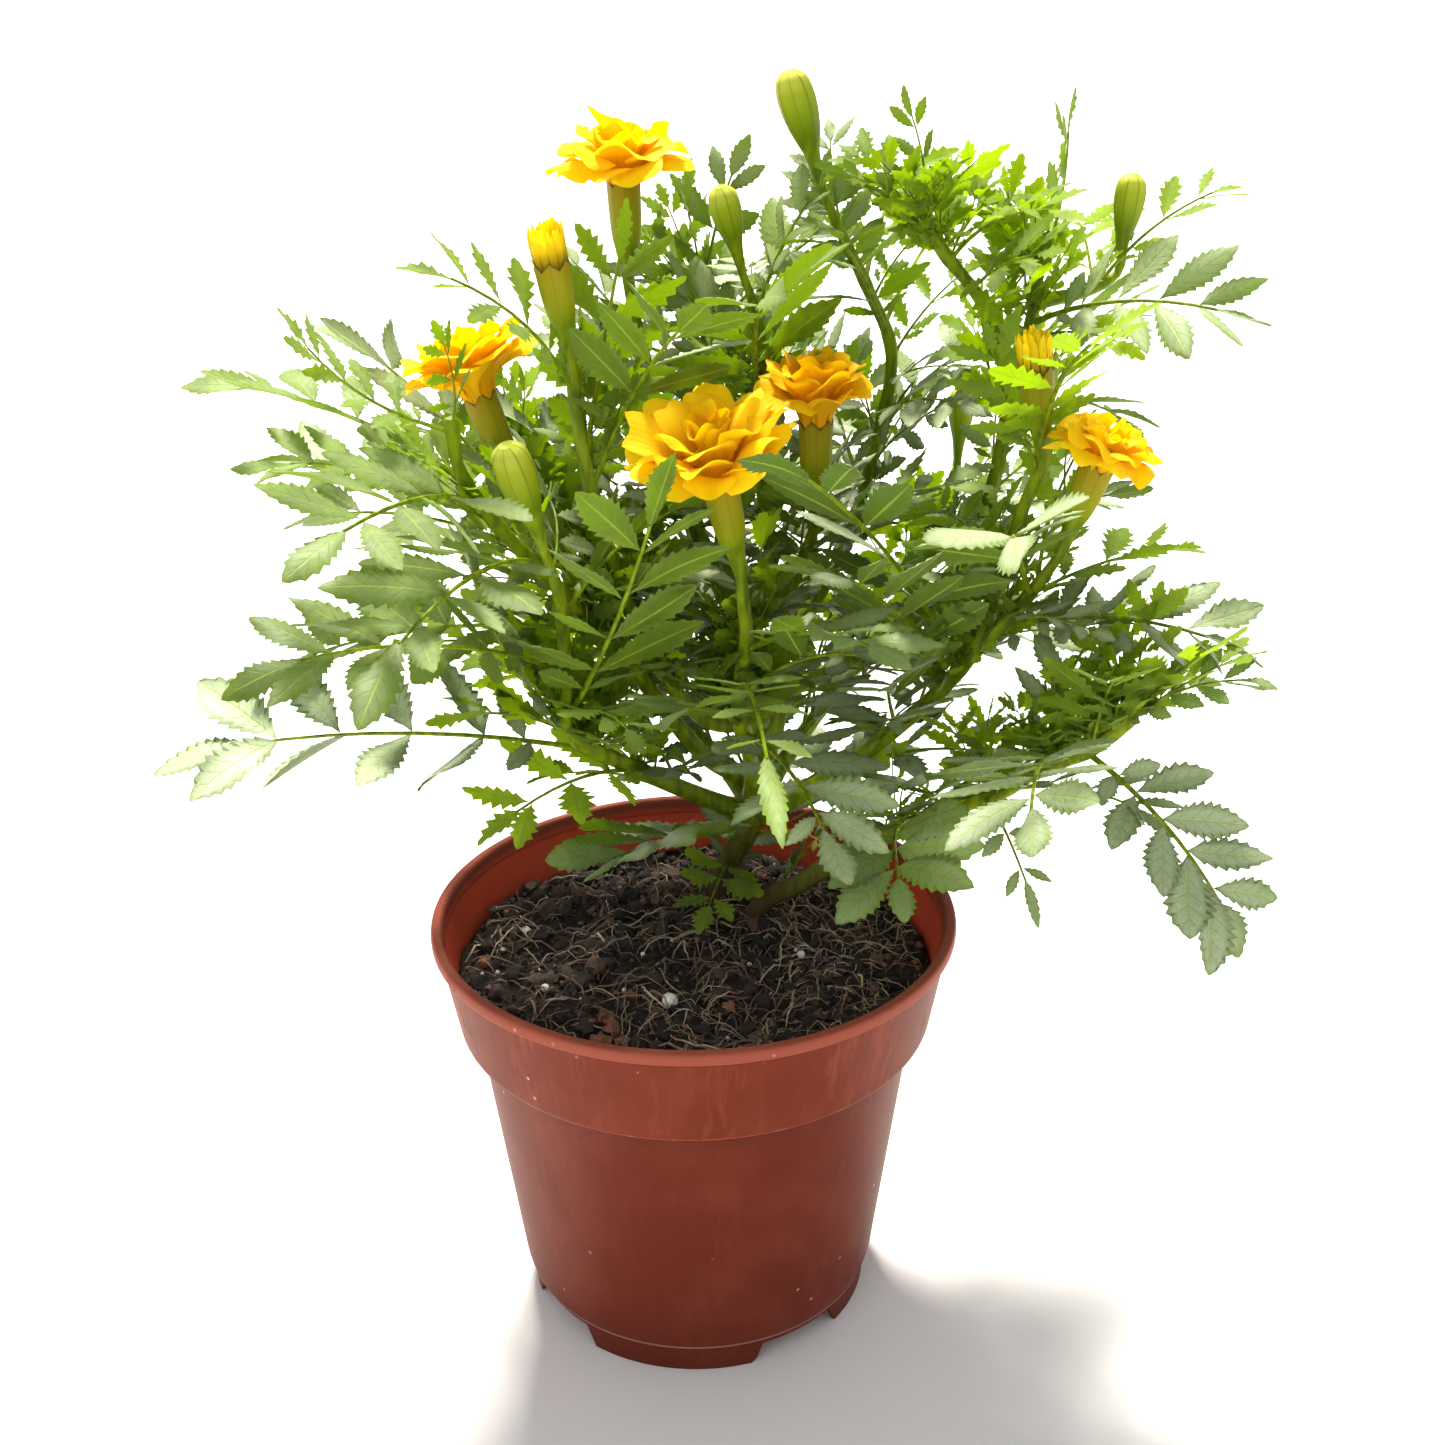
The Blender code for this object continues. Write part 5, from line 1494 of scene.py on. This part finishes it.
def addFloretTubes(batch, seat, turn, high, draw):
    count, low, sides = tubeLook["count"], tubeLook["low"], tubeLook["sides"]
    for number in range(count):
        angle = 2 * math.pi * number / count + draw.uniform(-0.05, 0.05)
        slim = tubeLook["slim"] * draw.uniform(0.85, 1.1)
        centres = []
        for share in (0.0, 0.5, 1.0):
            out = tubeLook["radius"] * (0.90 + 0.22 * share)
            height = low + (high - low) * share
            centres.append(seat + turn @ Vector((out * math.cos(angle), out * math.sin(angle), height)))
        shell, faces = ringPoints(centres, [slim * 0.8, slim, slim * 1.1], sides)
        closeEnds(faces, len(centres), sides)
        places = [(0.5, 0.02 + 0.10 * (k // sides)) for k in range(len(shell))]
        pour(batch, shell, faces, places, (draw.random(), 0.0, 0.0))


def makeBloom(name, node, twig, radius, number, skin):
    draw = random.Random(40 + number)
    seat, ahead = headSeat(node, twig)
    turn = up.rotation_difference(ahead)
    batch = newBatch()
    share, rise, lift, cupped = bearings[name]
    for layer, look in enumerate(layerLook):
        raised = look["rise"] + rise + cupped * outerShare[layer]
        look = dict(look, reach=look["reach"] * share, rise=raised, foot=look["foot"] + lift)
        start = draw.uniform(0, 6)
        for step in range(look["count"]):
            angle = start + 2 * math.pi * (step + draw.uniform(-0.12, 0.12)) / look["count"]
            addPetal(batch, seat, turn, angle, radius, look, draw)
    if name in lonePetals:
        angle, reach, rise, wide = lonePetals[name]
        look = dict(layerLook[3], reach=reach, rise=rise, wide=wide)
        addPetal(batch, seat, turn, angle, radius, look, draw)
    addFloretTubes(batch, seat, turn, petalFoot + lift, draw)
    return makePiece(name + "_florets", batch, [skin], [name])


skins = {"centre_bloom": "deep"}  # the others are golden
for name, (node, twig, radius, number) in blooms.items():
    totalTriangles += makeBloom(name, node, twig, radius, number, petalSkins[skins.get(name, "golden")])

# A half-open bud's petals stand upright in three rings; their sizes are in mm
tuftPetal = {"rise": 0.0, "cup": 1.0, "ruffle": 0.10, "claw": 0.85, "curl": 0.0}
tuftLook = [dict(tuftPetal, count=12, reach=4.6, foot=8.2, start=3.9, bend=(0.7, 1.6), wide=1.15),
            dict(tuftPetal, count=9, reach=3.2, foot=8.8, start=2.6, bend=(0.4, 1.0), wide=1.05),
            dict(tuftPetal, count=5, reach=1.4, foot=8.8, start=1.0, bend=(0.2, 1.0), wide=1.0)]
for number, (name, (node, twig)) in enumerate(halfOpenBuds.items()):
    draw = random.Random(60 + number)
    seat, ahead = headSeat(node, twig)
    turn = up.rotation_difference(ahead)
    batch = newBatch()
    for look in tuftLook:
        start = draw.uniform(0, 6)
        for step in range(look["count"]):
            angle = start + 2 * math.pi * step / look["count"]
            addPetal(batch, seat, turn, angle, 1.0, look, draw, slimSheet, draw.uniform(-2.0, 0.8))
    totalTriangles += makePiece(name + "_rolls", batch, [petalSkins["yellow"]], [name])
print("blooms made")


# The pot: the solid's own profile, turned finely, with rounded rim and arched gaps in its foot

potSizes = {
    "height": 124.0, "wall": 1.6, "rimRadius": 75.0, "rimDepth": 3.6, "collarTop": 73.2, "collarFoot": 68.4,
    "collarDepth": 32.0, "bodyTop": 63.4, "bodyFoot": 53.2, "footRadius": 51.0, "footHeight": 8.8,
    "ledgeRise": 0.9, "notches": 4, "notchAngle": 35.0, "notchWidth": 29.0, "notchHeight": 6.5,
    "drains": 6, "drainRing": 34.0, "drainRadius": 4.5, "sides": 192,
}


def roundCorner(before, corner, after, size, steps=4):  # swaps a corner for a short curve
    a, b, c = Vector(before), Vector(corner), Vector(after)
    start = b + (a - b).normalized() * min(size, (a - b).length * 0.45)
    end = b + (c - b).normalized() * min(size, (c - b).length * 0.45)
    curve = []
    for step in range(steps + 1):
        t = step / steps
        curve.append(start * (1 - t) ** 2 + b * (2 * t * (1 - t)) + end * t ** 2)
    return curve


def potProfile(size):
    h, wall = size["height"], size["wall"]
    collarFoot = h - size["collarDepth"]
    rimFoot = h - size["rimDepth"]
    ledge = collarFoot + wall + size["ledgeRise"]
    corners = [  # radius, height and how much of the corner is rounded, from the floor's inside to the foot
        (size["bodyFoot"] - wall - 0.6, size["footHeight"] + wall, 1.5),
        (size["bodyTop"] - wall, collarFoot + size["ledgeRise"], 0.5),
        (size["collarFoot"] - wall, ledge, 0.8),
        (size["collarTop"] - wall, h - 1.2, 0.8),
        (size["rimRadius"] - 2.6, h, 1.0),
        (size["rimRadius"] - 0.4, h - 0.4, 0.5),
        (size["rimRadius"], h - 1.4, 0.8),
        (size["rimRadius"], rimFoot, 0.6),
        (size["collarTop"], rimFoot - 0.4, 0.5),
        (size["collarFoot"], collarFoot + 1.4, 1.2),
        (size["collarFoot"] - 1.4, collarFoot, 0.9),
        (size["bodyTop"], collarFoot - 0.6, 0.5),
        (size["bodyFoot"], size["footHeight"] + 4.0, 2.5),
        (size["footRadius"] + 1.0, size["footHeight"], 0.5),
        (size["footRadius"], size["footHeight"] - 0.8, 0.3),
        (size["footRadius"] - 0.4, 0, 0.4),
        (size["footRadius"] - 0.4 - wall, 0, 0.3),
        (size["footRadius"] - wall, size["footHeight"], 0.5),
    ]
    middle = (0.0, size["footHeight"] + wall)
    end = (0.0, size["footHeight"])
    line = [Vector(middle)]
    flat = [middle] + [corner[:2] for corner in corners] + [end]
    for number, (radius, height, softness) in enumerate(corners):
        line += roundCorner(flat[number], (radius, height), flat[number + 2], softness)
    line.append(Vector(end))
    return line


def notchLift(size, angle):  # how far the foot is raised at an angle: 1 inside a gap, with sloping ends
    half = size["notchWidth"] / 2 / size["footRadius"]
    nearest = math.pi
    for step in range(size["notches"]):
        centre = math.radians(size["notchAngle"]) + 2 * math.pi * step / size["notches"]
        away = abs((angle - centre + math.pi) % (2 * math.pi) - math.pi)
        nearest = min(nearest, away)
    share = clamp((half + 0.02 - nearest) / 0.06)
    return share * share * (3 - 2 * share)


def makePot(size):  # turned from its profile; the gaps lift its foot, and the drains are cut
    line = potProfile(size)
    sides = size["sides"]
    points, faces = [], []
    rings = []
    for p in line:
        if p.x < 0.01:
            rings.append([len(points)])
            points.append((0.0, 0.0, p.y))
            continue
        ring = []
        for step in range(sides):
            angle = 2 * math.pi * step / sides
            floor = size["notchHeight"] * notchLift(size, angle)
            ring.append(len(points))
            points.append((p.x * math.cos(angle), p.x * math.sin(angle), max(p.y, floor)))
        rings.append(ring)
    for first, second in zip(rings, rings[1:]):
        for step in range(sides):
            after = (step + 1) % sides
            if len(first) == 1:
                faces.append((first[0], second[step], second[after]))
            elif len(second) == 1:
                faces.append((first[step], second[0], first[after]))
            else:
                faces.append((first[step], second[step], second[after], first[after]))
    batch = newBatch()
    pour(batch, points, faces)
    triangles = makePiece("nursery_pot", batch, [potPlastic], ["pot"], 50)
    pot = bpy.data.objects["nursery_pot"]
    drains = []
    for step in range(size["drains"]):
        angle = 2 * math.pi * step / size["drains"]
        place = Vector((math.cos(angle), math.sin(angle), 0)) * size["drainRing"] * mm
        place.z = size["footHeight"] * mm
        bpy.ops.mesh.primitive_cylinder_add(vertices=24, radius=size["drainRadius"] * mm, depth=12 * mm,
                                            location=place)
        drains.append(bpy.context.active_object)
    for drain in drains:
        cut = pot.modifiers.new("Drain", "BOOLEAN")
        cut.operation = "DIFFERENCE"
        cut.object = drain
    mesh = bpy.data.meshes.new_from_object(pot.evaluated_get(bpy.context.evaluated_depsgraph_get()))
    pot.modifiers.clear()
    pot.data = mesh
    for drain in drains:
        bpy.data.objects.remove(drain)
    return triangles


totalTriangles += makePot(potSizes)
print("pot made")


# Soil: a lumpy top with crumbs, fibres, grit and perlite lying on it

soilSizes = {"ringStep": 0.85, "sides": 252, "bump": 1.6, "gap": 0.42}


def soilRadius(height):  # the pot's inside, less a hair
    size = potSizes
    ledge = size["height"] - size["collarDepth"] + size["wall"] + size["ledgeRise"]  # the step inside
    slope = (size["collarTop"] - size["collarFoot"]) / (size["height"] - 1.2 - ledge)
    return size["collarFoot"] - size["wall"] - soilSizes["gap"] + slope * (height - ledge)


soilEdge = soilRadius(soilTop - 1.0)


def soilHeight(x, y):  # broad waves, three sizes of lumps, and a drop at the pot's wall
    radius, angle = math.hypot(x, y), math.atan2(y, x)
    wave = math.sin(radius * 0.21 + 3 * angle) + math.sin(radius * 0.13 - 5 * angle + 1.0)
    height = soilTop + soilSizes["bump"] * (wave * 0.5 + 0.6 * (1 - radius / potSizes["collarTop"]))
    height += noise.noise(Vector((x / 9, y / 9, 3))) * 1.5 + noise.noise(Vector((x / 4, y / 4, 7))) * 1.1
    height += abs(noise.noise(Vector((x / 1.9, y / 1.9, 11)))) * 2.0 - 0.6
    return height - 1.4 * max(0.0, (radius - soilEdge + 4) / 4) ** 2


def makeSoil():  # rings of the top from the middle outwards, then down the pot's inside
    sides = soilSizes["sides"]
    count = int(soilEdge / soilSizes["ringStep"])
    points = [(0.0, 0.0, soilHeight(0.01, 0.0))]
    for ring in range(1, count + 1):
        radius = soilEdge * ring / count
        for step in range(sides):
            angle = 2 * math.pi * (step + 0.5 * (ring % 2)) / sides
            x, y = radius * math.cos(angle), radius * math.sin(angle)
            points.append((x, y, soilHeight(x, y)))
    size = potSizes
    collarFoot = size["height"] - size["collarDepth"]
    wall, clear = size["wall"], soilSizes["gap"]
    sideProfile = [(soilRadius(size["height"] - 30), collarFoot + wall + size["ledgeRise"] + gap),
                   (size["bodyTop"] - wall - clear, collarFoot + size["ledgeRise"] + gap),
                   (size["bodyFoot"] - wall - 0.6 - clear, size["footHeight"] + wall + gap)]
    for radius, height in sideProfile:
        for step in range(sides):
            angle = 2 * math.pi * (step + 0.5 * (count % 2)) / sides
            points.append((radius * math.cos(angle), radius * math.sin(angle), height))
    points.append((0.0, 0.0, sideProfile[-1][1]))
    faces = [(0, 1 + step, 1 + (step + 1) % sides) for step in range(sides)]
    rings = count + len(sideProfile)
    for ring in range(rings - 1):
        low, high = 1 + ring * sides, 1 + (ring + 1) * sides
        for step in range(sides):
            after = (step + 1) % sides
            faces.append((low + step, high + step, high + after, low + after))
    low = 1 + (rings - 1) * sides
    faces += [(low + step, len(points) - 1, low + (step + 1) % sides) for step in range(sides)]
    batch = newBatch()
    pour(batch, points, faces)
    return makePiece("peat_fill", batch, [peat], ["soil"], 60)


def ballPattern(rounds):  # points and faces of a ball of radius 1
    bpy.ops.mesh.primitive_ico_sphere_add(subdivisions=rounds, radius=1.0)
    ball = bpy.context.active_object
    points = np.array([list(v.co) for v in ball.data.vertices])
    faces = [tuple(p.vertices) for p in ball.data.polygons]
    bpy.data.objects.remove(ball)
    return points, faces


balls = {"round": ballPattern(2), "plain": ballPattern(1)}


def addLump(batch, x, y, size, flat, rough, draw, tone, sunk=0.35, kind="round"):  # sunk: share of its height
    ballPoints, ballFaces = balls[kind]
    spin = Quaternion((draw.gauss(0, 1), draw.gauss(0, 1), draw.gauss(0, 1), 1)).normalized()
    turn = np.array(spin.to_matrix())
    shift = Vector((draw.uniform(0, 50), 0, 0))
    grown = np.array([1 + rough * noise.noise(Vector(p) * 1.6 + shift) for p in ballPoints.tolist()])
    points = (ballPoints * grown[:, None]) @ turn * size * np.array([1.0, 1.0, flat])
    points = points + np.array([x, y, soilHeight(x, y) + size * flat * (1 - 2 * sunk)])
    pour(batch, points, ballFaces, tone=(tone, 0, 0))


def spot(draw, edge=2.5):  # a random place on the soil
    radius = (soilEdge - edge) * math.sqrt(draw.random())
    angle = draw.uniform(0, 2 * math.pi)
    return radius * math.cos(angle), radius * math.sin(angle)


def addFibre(batch, x, y, length, slim, draw, tone, lift, curl=0.36):  # a bent root lying on the soil
    heading = draw.uniform(0, 2 * math.pi)
    steps = max(5, int(length / 2.2))
    centres = []
    for step in range(steps + 1):
        if math.hypot(x, y) > soilEdge - 1.5:
            break
        arc = math.sin(math.pi * step / steps) * lift * 2
        centres.append(Vector((x, y, soilHeight(x, y) + slim * 0.6 + arc)))
        heading += draw.uniform(-curl, curl)
        x += math.cos(heading) * length / steps
        y += math.sin(heading) * length / steps
    if len(centres) < 4:
        return
    count = len(centres)
    radii = [slim * (1 - 0.7 * abs(2 * k / (count - 1) - 1) ** 2) for k in range(count)]
    shell, faces = ringPoints(centres, radii, 5)
    closeEnds(faces, count, 5)
    pour(batch, shell, faces, tone=(tone, 0, 0))


# Single grains that the photo shows: x, y, radius, kind
shownGrains = [(-7, -26, 2.3, "white"), (-42, -20, 1.2, "white"), (-31, -23, 1.4, "white"),
               (-50, 16, 1.6, "white"), (31, 0, 1.2, "white"), (-56, 6, 0.9, "white"), (-61, 0, 1.9, "red"),
               (9, -28, 2.0, "red"), (-57, 26, 1.2, "red"), (4, -50, 1.4, "red")]

litter = {"lumps": 620, "crumbs": 1500, "fibres": 560, "rootlets": 420, "perlite": 16}  # pieces on the soil

draw = random.Random(21)
totalTriangles += makeSoil()
batch = newBatch()
for number in range(litter["lumps"]):
    x, y = spot(draw)
    size = 0.7 + 2.3 * draw.random() ** 2.5
    browner = 0.35 if x < -18 and y < -10 else 0.0
    flat = draw.uniform(0.6, 0.95)
    tone = min(0.95, draw.random() ** 2 * 0.8 + browner)
    addLump(batch, x, y, size, flat, 0.9, draw, tone)
for number in range(litter["crumbs"]):
    x, y = spot(draw, 1.5)
    addLump(batch, x, y, draw.uniform(0.4, 1.1), 0.8, 0.6, draw, draw.random() ** 1.5, 0.3, "plain")
for x, y, size, kind in shownGrains:
    if kind == "red":
        addLump(batch, x, y, size, 0.8, 0.5, draw, 1.0, 0.25)
totalTriangles += makePiece("peat_crumbs", batch, [crumbs], (), 70)
batch = newBatch()
for number in range(litter["fibres"]):
    x, y = spot(draw)
    slim = 0.10 + 0.26 * draw.random() ** 3
    length, tone, lift = draw.uniform(5, 24), draw.random(), draw.uniform(0.3, 1.8)
    addFibre(batch, x, y, length, slim, draw, tone, lift)
for number in range(litter["rootlets"]):  # short ones, on the right half only
    x, y = spot(draw)
    length, slim, tone = draw.uniform(4, 11), draw.uniform(0.09, 0.20), draw.random()
    addFibre(batch, abs(x) * 0.97, y, length, slim, draw, tone, 0.8, 0.9)
totalTriangles += makePiece("root_fibres", batch, [fibres], (), 70)
batch = newBatch()
for x, y, size, kind in shownGrains:
    if kind == "white":
        addLump(batch, x, y, size, 0.95, 0.12, draw, 0.9, 0.2)
for number in range(litter["perlite"]):
    x, y = spot(draw)
    addLump(batch, x, y, draw.uniform(0.35, 0.8), 0.9, 0.3, draw, draw.random(), 0.25)
totalTriangles += makePiece("perlite_grains", batch, [perlite], (), 70)
print("soil made; triangles in all:", totalTriangles)


# Floor, light and camera

def makeFloor():
    reach = 14.0
    corners = [(-reach, -reach, 0), (reach, -reach, 0), (reach, reach, 0), (-reach, reach, 0)]
    mesh = bpy.data.meshes.new("floor")
    mesh.from_pydata(corners, [], [(0, 1, 2, 3)])
    floor = bpy.data.objects.new("floor", mesh)
    bpy.context.scene.collection.objects.link(floor)
    material, tree, shader = newMaterial("PaleStudioFloor", 0.9)
    shader.inputs["Base Color"].default_value = linear("#E2E2E0")
    mesh.materials.append(material)


def addLight(name, place, target, size, power):
    light = bpy.data.lights.new(name, "AREA")
    light.shape = "DISK"
    light.size = size
    light.energy = power
    lamp = bpy.data.objects.new(name, light)
    bpy.context.scene.collection.objects.link(lamp)
    lamp.location = place
    lamp.rotation_euler = (Vector(target) - Vector(place)).to_track_quat("-Z", "Y").to_euler()


studio = {"world": "#F7F8FA", "worldStrength": 0.74, "keyColour": "#FFF9EE", "keyPower": 10.3,
          "keySoft": 11.0, "keyFrom": (-0.12, 0.55, 1.0), "fillPower": 4.1}
world = bpy.data.worlds.new("studio")
bpy.context.scene.world = world
world.use_nodes = True
background = world.node_tree.nodes["Background"]
background.inputs["Color"].default_value = linear(studio["world"])
background.inputs["Strength"].default_value = studio["worldStrength"]
makeFloor()
key = bpy.data.lights.new("key", "SUN")
key.energy = studio["keyPower"]
key.angle = math.radians(studio["keySoft"])
key.color = linear(studio["keyColour"])[:3]
lamp = bpy.data.objects.new("key", key)
bpy.context.scene.collection.objects.link(lamp)
lamp.rotation_euler = Vector(studio["keyFrom"]).to_track_quat("Z", "Y").to_euler()
addLight("frontSoft", (-0.7, -1.3, 1.2), (0.0, 0.0, 0.15), 1.0, studio["fillPower"])

# The photo's camera: place in mm, focal length in pixels of its 1445-pixel frame, angles in degrees
shot = {"place": (0.0, -478.0, 393.0), "focal": 1902.0, "frame": 1445.0,
        "yaw": 1.05, "pitch": 23.82, "roll": -0.54}


def makeCamera(shot):
    yaw, pitch, roll = (math.radians(shot[key]) for key in ("yaw", "pitch", "roll"))
    forward = Vector((math.sin(yaw) * math.cos(pitch), math.cos(yaw) * math.cos(pitch), -math.sin(pitch)))
    level = forward.cross(up).normalized()
    above = level.cross(forward)
    right = level * math.cos(roll) + above * math.sin(roll)
    top = above * math.cos(roll) - level * math.sin(roll)
    data = bpy.data.cameras.new("camera")
    data.sensor_width = 36.0
    data.lens = data.sensor_width * shot["focal"] / shot["frame"]
    data.clip_end = 60.0
    camera = bpy.data.objects.new("camera", data)
    bpy.context.scene.collection.objects.link(camera)
    turned = Matrix((right, top, -forward)).transposed().to_4x4()
    turned.translation = Vector(shot["place"]) * mm
    camera.matrix_world = turned
    bpy.context.scene.camera = camera


makeCamera(shot)
bpy.context.scene.view_settings.view_transform = "Standard"
print("lights and camera set")
